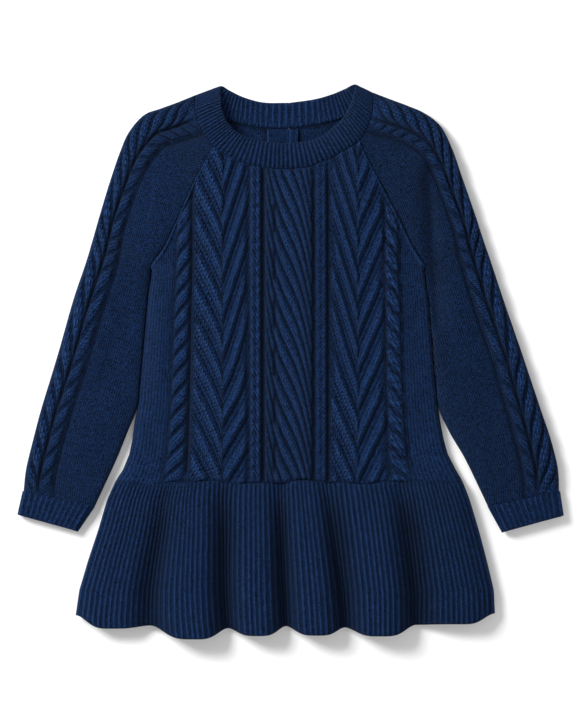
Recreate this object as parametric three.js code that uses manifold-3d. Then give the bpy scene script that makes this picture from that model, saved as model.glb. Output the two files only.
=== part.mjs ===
// Knitted sweater dress for a small child, lying on its back with the neck towards +Y and the hem towards -Y.
// Each piece of cloth is a closed wall: an outer skin that carries ribs and cables over a plainer inner skin.
import * as THREE from "three";
import { mergeVertices } from "three/addons/utils/BufferGeometryUtils.js";
import Module from "manifold-3d";

// Cloth, and the heights at which it lies above the surface, in millimetres
const CLOTH = 2.3;
const HALF = CLOTH / 2;
const BODY_TOP = 11.2;
const SLEEVE_TOP = 10.2;
const FOLD_HEIGHT = 5.6;
const BACK_MID = HALF;
const SEAM_GAP = 0.5;
const FOLD_GAP = 0.3;
const RAGLAN_GAP = 1.2;
const ARMPIT_EASE = 3.4;
const SIDE_ROUND = 13;
const BACK_ROUND = 7;
const SLEEVE_ROUND = 12;
const CUFF_END_ROUND = 5;
const WAIST_Y = -108.4;
const NAVY = 0x16305c;
const NAVY_INSIDE = 0x12264a;

// Side folds of the body and of the peplum, at the middle of the cloth
const BODY_SIDES = [
  { y: 84.6, left: -122.5, right: 118.1 },
  { y: 70, left: -125.4, right: 121.2 },
  { y: 55, left: -127.6, right: 123.4 },
  { y: 10, left: -131.6, right: 127.1 },
  { y: -39, left: -136.1, right: 131.6 },
  { y: -57, left: -139.6, right: 134.3 },
  { y: -71, left: -141.5, right: 137.1 },
  { y: -84, left: -144.2, right: 140.7 },
  { y: -98, left: -149.9, right: 147.9 },
  { y: WAIST_Y, left: -156.8, right: 153.9 },
];
const PEPLUM_SIDES = [
  { y: WAIST_Y, left: -156.8, right: 153.9 },
  { y: -125, left: -164.1, right: 160.4 },
  { y: -152, left: -172.1, right: 168.5 },
  { y: -179, left: -181.1, right: 175.6 },
  { y: -206, left: -189.1, right: 182.0 },
  { y: -230, left: -192.6, right: 183.2 },
];

// Sleeves: a row for each section from the neck to the cuff seam, with the outer fold and the two edges.
// The first eight rows follow the raglan seams, the others the underarm seam.
const LEFT_SLEEVE = [
  { outX: -85.4, outY: 239.9, frontX: -70.04, frontY: 194.02, backX: -63.7, backY: 221 },
  { outX: -102.6, outY: 232.6, frontX: -77.2, frontY: 180.5, backX: -71, backY: 201 },
  { outX: -117, outY: 227.2, frontX: -84.2, frontY: 167.9, backX: -79, backY: 184 },
  { outX: -131.2, outY: 221.9, frontX: -89.6, frontY: 157, backX: -87, backY: 166 },
  { outX: -145.2, outY: 206.2, frontX: -96.1, frontY: 142, backX: -95.6, backY: 146 },
  { outX: -152.5, outY: 189.9, frontX: -103.1, frontY: 126, backX: -103, backY: 128 },
  { outX: -161.2, outY: 164.7, frontX: -112.8, frontY: 105.3, backX: -112.8, backY: 106 },
  { outX: -171.3, outY: 131.4, frontX: -126.2, frontY: 84.6, backX: -126.2, backY: 84.6 },
  { outX: -177, outY: 111.5, frontX: -127.6, frontY: 76.5, backX: -127.6, backY: 76.5 },
  { outX: -183, outY: 91.2, frontX: -129.9, frontY: 62, backX: -129.9, backY: 62 },
  { outX: -195, outY: 55.8, frontX: -132.9, frontY: 30, backX: -132.9, backY: 30 },
  { outX: -208, outY: 10.1, frontX: -136.7, frontY: -12, backX: -136.7, backY: -12 },
  { outX: -216.2, outY: -16.9, frontX: -139.4, frontY: -40, backX: -139.4, backY: -40 },
  { outX: -224.4, outY: -43.8, frontX: -147.4, frontY: -62, backX: -147.4, backY: -62 },
  { outX: -231.5, outY: -70.9, frontX: -157, frontY: -86, backX: -157, backY: -86 },
  { outX: -237.9, outY: -97.8, frontX: -168, frontY: -110, backX: -168, backY: -110 },
  { outX: -240, outY: -117.3, frontX: -177.4, frontY: -130.1, backX: -177.4, backY: -130.1 },
];
const RIGHT_SLEEVE = [
  { outX: 73.8, outY: 241.9, frontX: 62.86, frontY: 198.57, backX: 61.7, backY: 225.03 },
  { outX: 91, outY: 235.2, frontX: 69.2, frontY: 184.5, backX: 68, backY: 204 },
  { outX: 105.3, outY: 229.8, frontX: 76.7, frontY: 170, backX: 75.6, backY: 186 },
  { outX: 119.6, outY: 223.7, frontX: 83.7, frontY: 157, backX: 83.4, backY: 167 },
  { outX: 134, outY: 212.6, frontX: 91.2, frontY: 143, backX: 91.4, backY: 148 },
  { outX: 144, outY: 194, frontX: 100, frontY: 126, backX: 100, backY: 129 },
  { outX: 154, outY: 165.7, frontX: 109.8, frontY: 106, backX: 109.8, backY: 107 },
  { outX: 165.9, outY: 131.5, frontX: 121.8, frontY: 84.6, backX: 121.8, backY: 84.6 },
  { outX: 172.4, outY: 111.5, frontX: 123.3, frontY: 76.5, backX: 123.3, backY: 76.5 },
  { outX: 179.4, outY: 91.2, frontX: 125.8, frontY: 62, backX: 125.8, backY: 62 },
  { outX: 191.2, outY: 55.8, frontX: 128.7, frontY: 30, backX: 128.7, backY: 30 },
  { outX: 207.1, outY: 10.1, frontX: 132.4, frontY: -12, backX: 132.4, backY: -12 },
  { outX: 216.2, outY: -16.9, frontX: 134.9, frontY: -40, backX: 134.9, backY: -40 },
  { outX: 225.2, outY: -43.8, frontX: 143.6, frontY: -62, backX: 143.6, backY: -62 },
  { outX: 234.2, outY: -70.9, frontX: 157.6, frontY: -86, backX: 157.6, backY: -86 },
  { outX: 240.6, outY: -97.8, frontX: 169.4, frontY: -110, backX: 169.4, backY: -110 },
  { outX: 241.4, outY: -117.3, frontX: 178.9, frontY: -130.1, backX: 178.9, backY: -130.1 },
];
const RAGLAN_ROWS = 7;
const ARMPIT_ALONG = RAGLAN_ROWS / (LEFT_SLEEVE.length - 1);

// Neck band: a row for each station from the split at the back neck, round the left side and the front
const NECK_BAND = [
  { seamX: -1.6, seamY: 210.4, seamZ: 1.3, freeX: -1.5, freeY: 233.4, freeZ: 1.6 },
  { seamX: -25.7, seamY: 211.3, seamZ: 1.5, freeX: -24.8, freeY: 233.8, freeZ: 1.6 },
  { seamX: -45.5, seamY: 214.9, seamZ: 1.6, freeX: -42.8, freeY: 238.6, freeZ: 1.8 },
  { seamX: -63, seamY: 221, seamZ: 1.9, freeX: -53.6, freeY: 243.6, freeZ: 3 },
  { seamX: -84, seamY: 239.4, seamZ: 5.6, freeX: -61.9, freeY: 247.4, freeZ: 7.6 },
  { seamX: -86, seamY: 228.2, seamZ: 9.4, freeX: -62.4, freeY: 236.4, freeZ: 12.2 },
  { seamX: -82.8, seamY: 215.6, seamZ: 11.4, freeX: -61.4, freeY: 226, freeZ: 14.2 },
  { seamX: -76.6, seamY: 203.9, seamZ: 11.6, freeX: -57.4, freeY: 216.3, freeZ: 15 },
  { seamX: -69.4, seamY: 194.3, seamZ: 11.6, freeX: -51.6, freeY: 209, freeZ: 15 },
  { seamX: -55.2, seamY: 184.6, seamZ: 11.6, freeX: -42.7, freeY: 203.1, freeZ: 15 },
  { seamX: -37.3, seamY: 177.4, seamZ: 11.6, freeX: -31, freeY: 199.1, freeZ: 15 },
  { seamX: -18.5, seamY: 174, seamZ: 11.6, freeX: -16.7, freeY: 196.4, freeZ: 15 },
  { seamX: -1.4, seamY: 173.3, seamZ: 11.6, freeX: -2.3, freeY: 195.9, freeZ: 15 },
  { seamX: 17.6, seamY: 175.8, seamZ: 11.6, freeX: 12.2, freeY: 197.3, freeZ: 15 },
  { seamX: 35.5, seamY: 183, seamZ: 11.6, freeX: 25.6, freeY: 201.5, freeZ: 15 },
  { seamX: 49.7, seamY: 190.7, seamZ: 11.6, freeX: 37.3, freeY: 209.3, freeZ: 15 },
  { seamX: 62.2, seamY: 198.8, seamZ: 11.6, freeX: 47.1, freeY: 218.9, freeZ: 15 },
  { seamX: 69.4, seamY: 211.1, seamZ: 11.4, freeX: 52.4, freeY: 227.9, freeZ: 14.2 },
  { seamX: 73.4, seamY: 226.4, seamZ: 9.4, freeX: 56, freeY: 238, freeZ: 12.2 },
  { seamX: 72.8, seamY: 241.6, seamZ: 5.6, freeX: 57.4, freeY: 248.9, freeZ: 7.6 },
  { seamX: 61, seamY: 225, seamZ: 1.9, freeX: 48.6, freeY: 245.6, freeZ: 3 },
  { seamX: 44.6, seamY: 218.5, seamZ: 1.6, freeX: 38.3, freeY: 241.4, freeZ: 1.8 },
  { seamX: 24.8, seamY: 214, seamZ: 1.5, freeX: 23, freeY: 236.9, freeZ: 1.6 },
  { seamX: -0.4, seamY: 210.4, seamZ: 1.3, freeX: -0.5, freeY: 233.4, freeZ: 1.6 },
];

// Peplum: a row for each ridge or valley of its flutes, from the left side to the right one
const FLUTES = [
  { waistX: -156.8, hemX: -192.6, waistZ: 11.2, hemZ: 11.5, hemY: -228.5 },
  { waistX: -134, hemX: -161, waistZ: 11.6, hemZ: 15, hemY: -239.5 },
  { waistX: -110, hemX: -126, waistZ: 10.8, hemZ: 7.6, hemY: -237.6 },
  { waistX: -86, hemX: -86, waistZ: 12.4, hemZ: 20, hemY: -248.4 },
  { waistX: -58, hemX: -56, waistZ: 10.4, hemZ: 5.2, hemY: -240.2 },
  { waistX: -31, hemX: -29, waistZ: 12.4, hemZ: 18.6, hemY: -245.6 },
  { waistX: -9, hemX: -4, waistZ: 9.4, hemZ: 4.9, hemY: -238.4 },
  { waistX: 12, hemX: 24, waistZ: 12.4, hemZ: 19, hemY: -245.2 },
  { waistX: 33, hemX: 49, waistZ: 10, hemZ: 5.1, hemY: -239.6 },
  { waistX: 68, hemX: 81, waistZ: 12.4, hemZ: 19.6, hemY: -245.8 },
  { waistX: 100, hemX: 113, waistZ: 10.2, hemZ: 6.2, hemY: -237.2 },
  { waistX: 130, hemX: 152, waistZ: 11.6, hemZ: 15, hemY: -235.6 },
  { waistX: 153.9, hemX: 183.2, waistZ: 11.2, hemZ: 11.5, hemY: -226.8 },
];
const PEPLUM_RIBS = 72;
const RIB_RELIEF = 1.1;
const NECK_RIBS = 96;
const CUFF_RIBS = 26;
const BACK_HEM_Y = -234;

// Cable columns of the front, from left to right, with the length of a repeat and the rise of its strands
const FRONT_CABLES = [
  { kind: "rope", centre: -95.9, half: 6.4, pitch: 18, slope: 1.1, relief: 2, step: 4.5 },
  { kind: "chevron", centre: -61.6, half: 25, pitch: 33, slope: 1.6, relief: 2, step: 5.5 },
  { kind: "rope", centre: -31.3, half: 5.6, pitch: 16, slope: -1, relief: 1.8, step: 4 },
  { kind: "braid", centre: -1.6, half: 22, pitch: 22, slope: -1.8, relief: 2.2, step: 5.5 },
  { kind: "rope", centre: 27.6, half: 5.6, pitch: 16, slope: 1, relief: 1.8, step: 4 },
  { kind: "chevron", centre: 59.9, half: 24, pitch: 34, slope: 1.6, relief: 2, step: 5.6 },
  { kind: "rope", centre: 90.6, half: 6.4, pitch: 18, slope: -1.1, relief: 2, step: 4.5 },
];
const FRONT_COLUMNS = [
  -119.5, -115.5, -110.6, -105, -102.3, -99.1, -95.9, -92.7, -89.5, -86.6, -78, -70, -61.6, -53, -45, -37.2,
  -34, -31.3, -28.5, -25.4, -23.6, -17, -9, -1.6, 6, 13.5, 20.4, 22.4, 25, 27.6, 30.2, 33, 35.9, 44, 52, 59.9,
  67.8, 75.8, 83.9, 87.4, 90.6, 93.8, 97, 101.5, 107, 111.5, 115.2,
];
const PLAIN_STEP = 17;
const INNER_STEP = 22;

// Runs from 0 at the edge of a fold to 1 where the cloth lies level, as a quarter of an ellipse
function roll(distance, radius) {
  const t = Math.min(Math.max(distance / radius, 0), 1);
  return Math.sqrt(1 - (1 - t) * (1 - t));
}

function lerp(a, b, t) {
  return a + (b - a) * t;
}

// Value of a table's column at a place along another of its columns
function look(table, keyName, valueName, key) {
  const rising = table[table.length - 1][keyName] > table[0][keyName];
  let i = 0;
  while (i < table.length - 2 && (rising ? table[i + 1][keyName] < key : table[i + 1][keyName] > key)) i++;
  const a = table[i];
  const b = table[i + 1];
  return lerp(a[valueName], b[valueName], (key - a[keyName]) / (b[keyName] - a[keyName]));
}

// Joins two rows of points with triangles. Each point has a place on the row, which rises along it.
function stitch(faces, rowA, rowB, placeA, placeB, flip) {
  let i = 0;
  let j = 0;
  while (i < rowA.length - 1 || j < rowB.length - 1) {
    const endA = i === rowA.length - 1;
    const endB = j === rowB.length - 1;
    const middleA = endA ? 0 : placeA(rowA[i]) + placeA(rowA[i + 1]);
    const middleB = endB ? 0 : placeB(rowB[j]) + placeB(rowB[j + 1]);
    const stepA = endB || (!endA && middleA <= middleB);
    const third = stepA ? rowA[i + 1] : rowB[j + 1];
    const triangle = flip ? [rowA[i], third, rowB[j]] : [rowA[i], rowB[j], third];
    faces.push(...triangle.map((point) => point.at));
    if (stepA) i++;
    else j++;
  }
}

const alongOf = (point) => point.along;
const acrossOf = (point) => point.across;

// A skin is a list of columns, each a list of points. placeIn gives a point's place in a strip.
function addSkin(faces, columns, flip, placeIn = () => alongOf) {
  for (let c = 0; c + 1 < columns.length; c++) {
    const place = placeIn(columns[c], columns[c + 1]);
    stitch(faces, columns[c], columns[c + 1], place, place, flip);
  }
}

// A closed wall from an outer and an inner skin. A ring ends with its first column and has no side rims.
function wall(outer, inner, { ring = false, placeIn } = {}) {
  const faces = [];
  addSkin(faces, outer, true, placeIn);
  addSkin(faces, inner, false);
  if (!ring) {
    stitch(faces, outer[0], inner[0], alongOf, alongOf, false);
    stitch(faces, inner[inner.length - 1], outer[outer.length - 1], alongOf, alongOf, false);
  }
  const first = (columns) => columns.map((column) => column[0]);
  const last = (columns) => columns.map((column) => column[column.length - 1]);
  stitch(faces, first(inner), first(outer), acrossOf, acrossOf, false);
  stitch(faces, last(outer), last(inner), acrossOf, acrossOf, false);
  const geometry = new THREE.BufferGeometry().setFromPoints(faces);
  geometry.computeVertexNormals();
  return geometry;
}

// Skins worked out from a function of across and along that gives the middle of the cloth
function skinOf(middle, grid, offset, ring = false) {
  const span = 1e-3;
  const side = new THREE.Vector3();
  const down = new THREE.Vector3();
  const clamp = (value) => Math.min(Math.max(value, 0), 1);
  return grid.map((column) =>
    column.map((point) => {
      const { across, along } = point;
      const before = ring ? across - span : clamp(across - span);
      const after = ring ? across + span : clamp(across + span);
      side.subVectors(middle(after, along), middle(before, along));
      down.subVectors(middle(across, clamp(along + span)), middle(across, clamp(along - span)));
      const normal = new THREE.Vector3().crossVectors(down, side).normalize();
      const at = middle(across, along).addScaledVector(normal, offset(point));
      return { at, across, along };
    }),
  );
}

const gridOf = (acrossList, alongList) =>
  acrossList.map((across) => alongList.map((along) => ({ across, along })));

const evenSteps = (count) => Array.from({ length: count + 1 }, (_, i) => i / count);

// Height of one cable column above the plain knit. Each repeat has a rounded strand and a narrow groove.
function strand(phase, sharpness) {
  return 1 - Math.pow(0.5 - 0.5 * Math.cos(2 * Math.PI * phase), sharpness);
}

function cableShear(cable, dx) {
  if (cable.kind === "chevron") return cable.slope * Math.abs(dx);
  return cable.slope * dx;
}

function cableRelief(cable, dx, y) {
  const phase = (y - cableShear(cable, dx)) / cable.pitch;
  const edge = Math.min(1, (cable.half - Math.abs(dx)) / 2.5);
  if (cable.kind === "chevron") {
    const lift = Math.max(0, Math.sin(2 * Math.PI * phase));
    return edge * cable.relief * (0.15 + 0.85 * lift);
  }
  return edge * cable.relief * strand(phase, 2.2);
}

// Ribs have a crest on each second column
const isCrest = (across, ribs) => Math.round(across * ribs * 2) % 2 === 1;

const cableAt = (x) => FRONT_CABLES.find((cable) => Math.abs(x - cable.centre) < cable.half);

function frontRelief(x, y) {
  const cable = cableAt(x);
  return cable ? Math.max(0, cableRelief(cable, x - cable.centre, y)) : 0;
}

// Raglan seams, shared by the body and the sleeves
const spline = (table, xName, yName) =>
  new THREE.CatmullRomCurve3(
    table.map((row) => new THREE.Vector3(row[xName], row[yName], 0)),
    false,
    "centripetal",
  );

function raglanY(curve, x) {
  let low = 0;
  let high = ARMPIT_ALONG;
  const outward = Math.sign(curve.getPoint(high).x);
  for (let i = 0; i < 40; i++) {
    const t = (low + high) / 2;
    if (curve.getPoint(t).x * outward < x * outward) low = t;
    else high = t;
  }
  return curve.getPoint(low).y;
}

const leftRaglan = spline(LEFT_SLEEVE, "frontX", "frontY");
const rightRaglan = spline(RIGHT_SLEEVE, "frontX", "frontY");
const leftBackRaglan = spline(LEFT_SLEEVE, "backX", "backY");
const rightBackRaglan = spline(RIGHT_SLEEVE, "backX", "backY");
const ARMPIT_Y = BODY_SIDES[0].y;

// The body's flare below the armpits moves its outer columns and leaves the middle ones upright
const UPRIGHT_TO = 60;

function flare(x, y) {
  const side = x < 0 ? "left" : "right";
  const armpit = BODY_SIDES[0][side];
  const reach = Math.max(0, (Math.abs(x) - UPRIGHT_TO) / (Math.abs(armpit) - UPRIGHT_TO));
  const edge = y > ARMPIT_Y ? armpit : look(BODY_SIDES, "y", side, y);
  return x + (edge - armpit) * reach * reach;
}

// The crease between the body and the sleeves dies out above the armpit
const CREASE_FADE = { left: 60, right: 95 };
const BACK_CURL_FADE = 25;

function creaseDepth(y, side) {
  const fade = THREE.MathUtils.clamp((y - ARMPIT_Y) / CREASE_FADE[side], 0, 1);
  return (1 - fade) * (1 - fade) * (BODY_TOP - FOLD_HEIGHT);
}

function frontHeight(x, y) {
  const side = x < 0 ? "left" : "right";
  const edge = y > ARMPIT_Y ? BODY_SIDES[0][side] : look(BODY_SIDES, "y", side, y);
  const lift = FOLD_GAP / 2;
  return BODY_TOP + lift - creaseDepth(y, side) * (1 - roll(Math.abs(edge) - Math.abs(x), SIDE_ROUND));
}

const neckSeam = (names) =>
  new THREE.CatmullRomCurve3(
    NECK_BAND.map((row) => new THREE.Vector3(row[names[0]], row[names[1]], row[names[2]])),
    false,
    "centripetal",
  );
const seamRing = neckSeam(["seamX", "seamY", "seamZ"]);
const freeRing = neckSeam(["freeX", "freeY", "freeZ"]);
const NECK_STEPS = NECK_BAND.length - 1;

// Stations of the neck band at the corners of the pieces that it joins
const STATION = { backLeft: 3, leftFold: 4, frontLeft: 8, frontRight: 16, rightFold: 19, backRight: 20 };

// Height of the neck seam at x, between a station where x is least and one where it is most
function neckY(x, least, most) {
  let low = least / NECK_STEPS;
  let high = most / NECK_STEPS;
  for (let i = 0; i < 40; i++) {
    const t = (low + high) / 2;
    if (seamRing.getPoint(t).x < x) low = t;
    else high = t;
  }
  return seamRing.getPoint(low).y;
}

// The rolled edge stands out sideways, so it ends a little lower at the armpit
function armpitEase(x, radius) {
  const side = BODY_SIDES[0][x < 0 ? "left" : "right"];
  return ARMPIT_EASE * (1 - roll(Math.abs(side) - Math.abs(x), radius));
}

function frontTopY(x) {
  const { frontLeft, frontRight } = STATION;
  const ease = SEAM_GAP + armpitEase(x, SIDE_ROUND);
  if (x < NECK_BAND[frontLeft].seamX) return raglanY(leftRaglan, x - RAGLAN_GAP) - ease;
  if (x > NECK_BAND[frontRight].seamX) return raglanY(rightRaglan, x + RAGLAN_GAP) - ease;
  return neckY(x, frontLeft, frontRight) - 2 * SEAM_GAP;
}

// Front of the body: upright columns that end at the raglans, the neck band and the waist
function frontPoint(x, y, offset) {
  const span = 0.05;
  const place = (px, py) => {
    const wide = flare(px, py);
    return new THREE.Vector3(wide, py, frontHeight(wide, py));
  };
  const at = place(x, y);
  const inward = place(x - Math.sign(x) * span, y);
  const across = inward.sub(at).multiplyScalar(-Math.sign(x));
  const up = place(x, y + span).sub(place(x, y - span));
  const normal = across.cross(up).normalize();
  return at.addScaledVector(normal, offset);
}

function frontColumn(x, offset, plain) {
  const top = frontTopY(x);
  const bottom = WAIST_Y + SEAM_GAP / 2;
  const cable = plain ? undefined : cableAt(x);
  const step = plain ? INNER_STEP : cable ? cable.step : PLAIN_STEP;
  const shear = cable ? cableShear(cable, x - cable.centre) : 0;
  const rows = [top];
  const first = Math.floor((top - step * 0.4 - shear) / step);
  for (let k = first; k * step + shear > bottom + step * 0.4; k--) rows.push(k * step + shear);
  rows.push(bottom);
  return rows.map((y) => {
    const relief = plain ? 0 : frontRelief(x, y);
    return { at: frontPoint(x, y, offset + relief), across: x, along: (top - y) / (top - bottom), x, y };
  });
}

function frontBody() {
  const { left, right } = BODY_SIDES[0];
  const edged = (middle) => [left, left + 0.9, ...middle, right - 0.9, right];
  const outerX = edged(FRONT_COLUMNS);
  const innerX = edged([-119.5, -115, -108, -95, -70, -45, -22, 0, 22, 45, 68, 92, 105, 111, 115.2]);
  const placeIn = (columnA, columnB) => {
    const cableA = cableAt(columnA[0].x);
    const same = cableA && cableA === cableAt(columnB[0].x);
    return (point) => -(point.y - (same ? cableShear(cableA, point.x - cableA.centre) : 0));
  };
  const outer = outerX.map((x) => frontColumn(x, HALF, false));
  const inner = innerX.map((x) => frontColumn(x, -HALF, true));
  return wall(outer, inner, { placeIn });
}

// Back of the body: it lies flat, and its sides curl up to meet the front
const BACK_NECK_GAP = 1.2;

function backTopY(x) {
  const left = LEFT_SLEEVE[0].backX;
  const right = RIGHT_SLEEVE[0].backX;
  const ease = SEAM_GAP + armpitEase(x, BACK_ROUND);
  if (x < left) return raglanY(leftBackRaglan, x - RAGLAN_GAP) - ease;
  if (x > right) return raglanY(rightBackRaglan, x + RAGLAN_GAP) - ease;
  const seam = x < 0 ? neckY(x, STATION.backLeft, 0) : neckY(x, NECK_STEPS, STATION.backRight);
  return seam - BACK_NECK_GAP;
}

function backBody() {
  const sides = BODY_SIDES[0];
  const inner = [-45, -22, 0, 22, 45];
  const left = LEFT_SLEEVE.slice(0, RAGLAN_ROWS).map((row) => row.backX + RAGLAN_GAP);
  const right = RIGHT_SLEEVE.slice(0, RAGLAN_ROWS).map((row) => row.backX - RAGLAN_GAP);
  const edge = [0, 0.7, 2.6, 6.6];
  const xs = edge.map((inset) => sides.left + inset).concat(left.reverse(), inner, right);
  xs.push(...edge.reverse().map((inset) => sides.right - inset));
  const column = (x, offset) => {
    const top = backTopY(x);
    const bottom = WAIST_Y + SEAM_GAP / 2;
    return evenSteps(10).map((along) => {
      const y = lerp(top, bottom, along);
      const wide = flare(x, y);
      const side = x < 0 ? "left" : "right";
      const edge = y > ARMPIT_Y ? sides[side] : look(BODY_SIDES, "y", side, y);
      const inFrom = Math.abs(edge) - Math.abs(wide);
      const fade = THREE.MathUtils.clamp((y - ARMPIT_Y) / BACK_CURL_FADE, 0, 1);
      const rise = (1 - fade) * (FOLD_HEIGHT - FOLD_GAP - BACK_MID);
      const t = Math.min(inFrom / BACK_ROUND, 1);
      const z = BACK_MID + rise * (1 - roll(inFrom, BACK_ROUND));
      const tilt = rise > 0 ? (rise * (1 - t)) / Math.max(roll(inFrom, BACK_ROUND), 1e-3) / BACK_ROUND : 0;
      const normal = new THREE.Vector3(Math.sign(x) * tilt, 0, -1).normalize();
      return { at: new THREE.Vector3(wide, y, z).addScaledVector(normal, offset), across: -x, along };
    });
  };
  const columns = [...xs].reverse();
  return wall(
    columns.map((x) => column(x, HALF)),
    columns.map((x) => column(x, -HALF)),
  );
}

// Sleeve: one sheet folded lengthwise, from its front edge over the outer fold to its back edge.
// Its cables are a braid beside the outer fold and, further in, a rope.
const SLEEVE_LENGTH = 385;
const NECK_CENTRE = new THREE.Vector3(-5, 222, 0);
const NECK_CORNER_Y = 192;
const NECK_HOLD = 7;
const NECK_CLEAR = { fold: 4.3, edge: 1.5 };
const RAGLAN_WAY = { x: -0.93, y: -0.37 };
const CUFF_DROP = 2.2;
const CUFF_BEND_FROM = 0.86;

// Distance of the rope's middle from the outer fold, along each sleeve
const ROPE_WAY = [
  { along: 0, left: 27, right: 27 },
  { along: 0.22, left: 26.5, right: 25.5 },
  { along: 0.42, left: 21.5, right: 19.5 },
  { along: 0.7, left: 20.5, right: 20.5 },
  { along: 0.88, left: 19.6, right: 25 },
  { along: 1, left: 19, right: 25.5 },
];
const SLEEVE_ROPE = { half: 5.2, pitch: 18.5, slope: 1.3, relief: 2 };
const SLEEVE_BRAID = { from: 1.5, pitch: 20.5, slope: -1.5, relief: 2 };
const CABLE_SPACE = 2.2;
const CABLE_ENDS = { neck: 0.07, cuff: 0.05 };
const PLAIN_ALONG = [
  0, 0.03, 0.06, 0.1, 0.14, 0.2, 0.27, 0.34, 0.4, 0.4375, 0.48, 0.54, 0.62, 0.7, 0.78, 0.86, 0.92, 0.97, 1,
];

function sleeveWall(table, side) {
  const hand = side > 0 ? "left" : "right";
  const curves = {
    out: spline(table, "outX", "outY"),
    front: spline(table, "frontX", "frontY"),
    back: spline(table, "backX", "backY"),
  };
  const [frontStation, foldStation, backStation] =
    side > 0
      ? [STATION.frontLeft, STATION.leftFold, STATION.backLeft]
      : [STATION.frontRight, STATION.rightFold, STATION.backRight];
  const neckEnd = (across) => {
    const first = across < 0.5 ? frontStation : foldStation;
    const last = across < 0.5 ? foldStation : backStation;
    const place = lerp(first, last, across < 0.5 ? across * 2 : across * 2 - 1) / NECK_STEPS;
    const at = seamRing.getPoint(place);
    const tangent = seamRing.getTangent(place);
    const away = new THREE.Vector3(tangent.y, -tangent.x, 0).normalize();
    away.multiplyScalar(Math.sign(away.dot(at.clone().sub(NECK_CENTRE))));
    const fromFold = Math.abs(2 * across - 1);
    if (across > 0.5) at.z = lerp(at.z, BACK_MID, Math.min(1, fromFold * 5));
    away.lerp(new THREE.Vector3(RAGLAN_WAY.x * side, RAGLAN_WAY.y, 0), (1 - fromFold) ** 2).normalize();
    return at.addScaledVector(away, lerp(NECK_CLEAR.fold, NECK_CLEAR.edge, fromFold));
  };
  const laid = (across, along) => {
    const isFront = across < 0.5;
    const fromFold = isFront ? 1 - across * 2 : across * 2 - 1;
    const out = curves.out.getPoint(along);
    const inner = (isFront ? curves.front : curves.back).getPoint(along);
    const width = out.distanceTo(inner);
    const at = out.clone().lerp(inner, fromFold);
    const end = THREE.MathUtils.smoothstep(along, CUFF_BEND_FROM, 1);
    const round = lerp(SLEEVE_ROUND, CUFF_END_ROUND, end);
    const outRoll = roll(fromFold * width, round);
    const below = Math.min(along / ARMPIT_ALONG, 1);
    if (isFront) {
      const innerRoll = roll((1 - fromFold) * width, round);
      const top = lerp(BODY_TOP, SLEEVE_TOP, below) - CUFF_DROP * end;
      const reach = creaseDepth(lerp(NECK_CORNER_Y, ARMPIT_Y, below), hand) / (BODY_TOP - FOLD_HEIGHT);
      at.z = FOLD_HEIGHT + FOLD_GAP / 2 + (top - FOLD_HEIGHT) * (outRoll - reach * (1 - innerRoll));
    } else {
      const innerRoll = roll((1 - fromFold) * width, BACK_ROUND);
      const fade = THREE.MathUtils.clamp((below - 0.85) / 0.15, 0, 1);
      const rise = FOLD_HEIGHT - FOLD_GAP / 2 - BACK_MID;
      at.z = BACK_MID + rise * (1 - outRoll) + rise * fade * (1 - innerRoll);
    }
    return at;
  };
  const middle = (across, along) => {
    const at = laid(across, along);
    const hold = Math.max(0, 1 - along * NECK_HOLD);
    if (hold === 0) return at;
    return at.addScaledVector(neckEnd(across).sub(laid(across, 0)), hold * hold);
  };
  const rope = (along) => look(ROPE_WAY, "along", hand, along);
  const widthAt = (along) => curves.out.getPoint(along).distanceTo(curves.front.getPoint(along));
  const acrossAt = (d, along) => (1 - d / widthAt(along)) / 2;
  const braidTo = (along) => rope(along) - SLEEVE_ROPE.half - CABLE_SPACE;
  const relief = (cable, fromEdge, phase, along) => {
    const fade = Math.min(1, along / CABLE_ENDS.neck, (1 - along) / CABLE_ENDS.cuff);
    return fromEdge > 0 ? fade * cable.relief * strand(phase, 2) : 0;
  };
  // A cable column has a row on each crest and in each groove of its strands
  const cableColumn = (cable, distance, dx, fromEdge) => {
    const column = [{ along: 0 }];
    const half = cable.pitch / 2;
    for (let k = 1; k * half < SLEEVE_LENGTH; k++) {
      const along = (k * half + cable.slope * dx) / SLEEVE_LENGTH;
      if (along > 0.01 && along < 0.99) column.push({ along, lift: relief(cable, fromEdge, k / 2, along) });
    }
    column.push({ along: 1 });
    return column.map(({ along, lift = 0 }) => ({ along, lift, across: acrossAt(distance(along), along) }));
  };
  const ropeColumn = (share) => {
    const dx = share * SLEEVE_ROPE.half;
    return cableColumn(SLEEVE_ROPE, (along) => rope(along) + dx, dx, 1 - Math.abs(share));
  };
  const braidColumn = (share) => {
    const distance = (along) => lerp(SLEEVE_BRAID.from, braidTo(along), share);
    return cableColumn(SLEEVE_BRAID, distance, distance(0.5), share * (1 - share));
  };
  const besideRope = (along) => acrossAt(rope(along) + SLEEVE_ROPE.half + CABLE_SPACE, along);
  const plain = [0, 0.015, 0.06, 0.14, 0.28, 0.55, 0.85, 1].map((share) =>
    PLAIN_ALONG.map((along) => ({ across: share * besideRope(along), along })));
  const cables = [1, 0.5, 0, -0.5, -1].map(ropeColumn).concat([1, 0.75, 0.5, 0.25, 0].map(braidColumn));
  const back = gridOf([0.5, 0.512, 0.53, 0.56, 0.62, 0.85, 0.93, 0.97, 0.992, 1], PLAIN_ALONG);
  const outerGrid = [...plain, ...cables, ...back];
  const insideFront = [0, 0.01, 0.05, 0.12, 0.25, 0.38, 0.445, 0.485];
  const insideBack = [0.5, 0.515, 0.56, 0.62, 0.85, 0.94, 0.985, 1];
  const outer = skinOf(middle, outerGrid, ({ lift = 0 }) => -side * (HALF + lift));
  const inner = skinOf(middle, gridOf([...insideFront, ...insideBack], evenSteps(16)), () => side * HALF);
  return wall(outer, inner);
}

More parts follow.
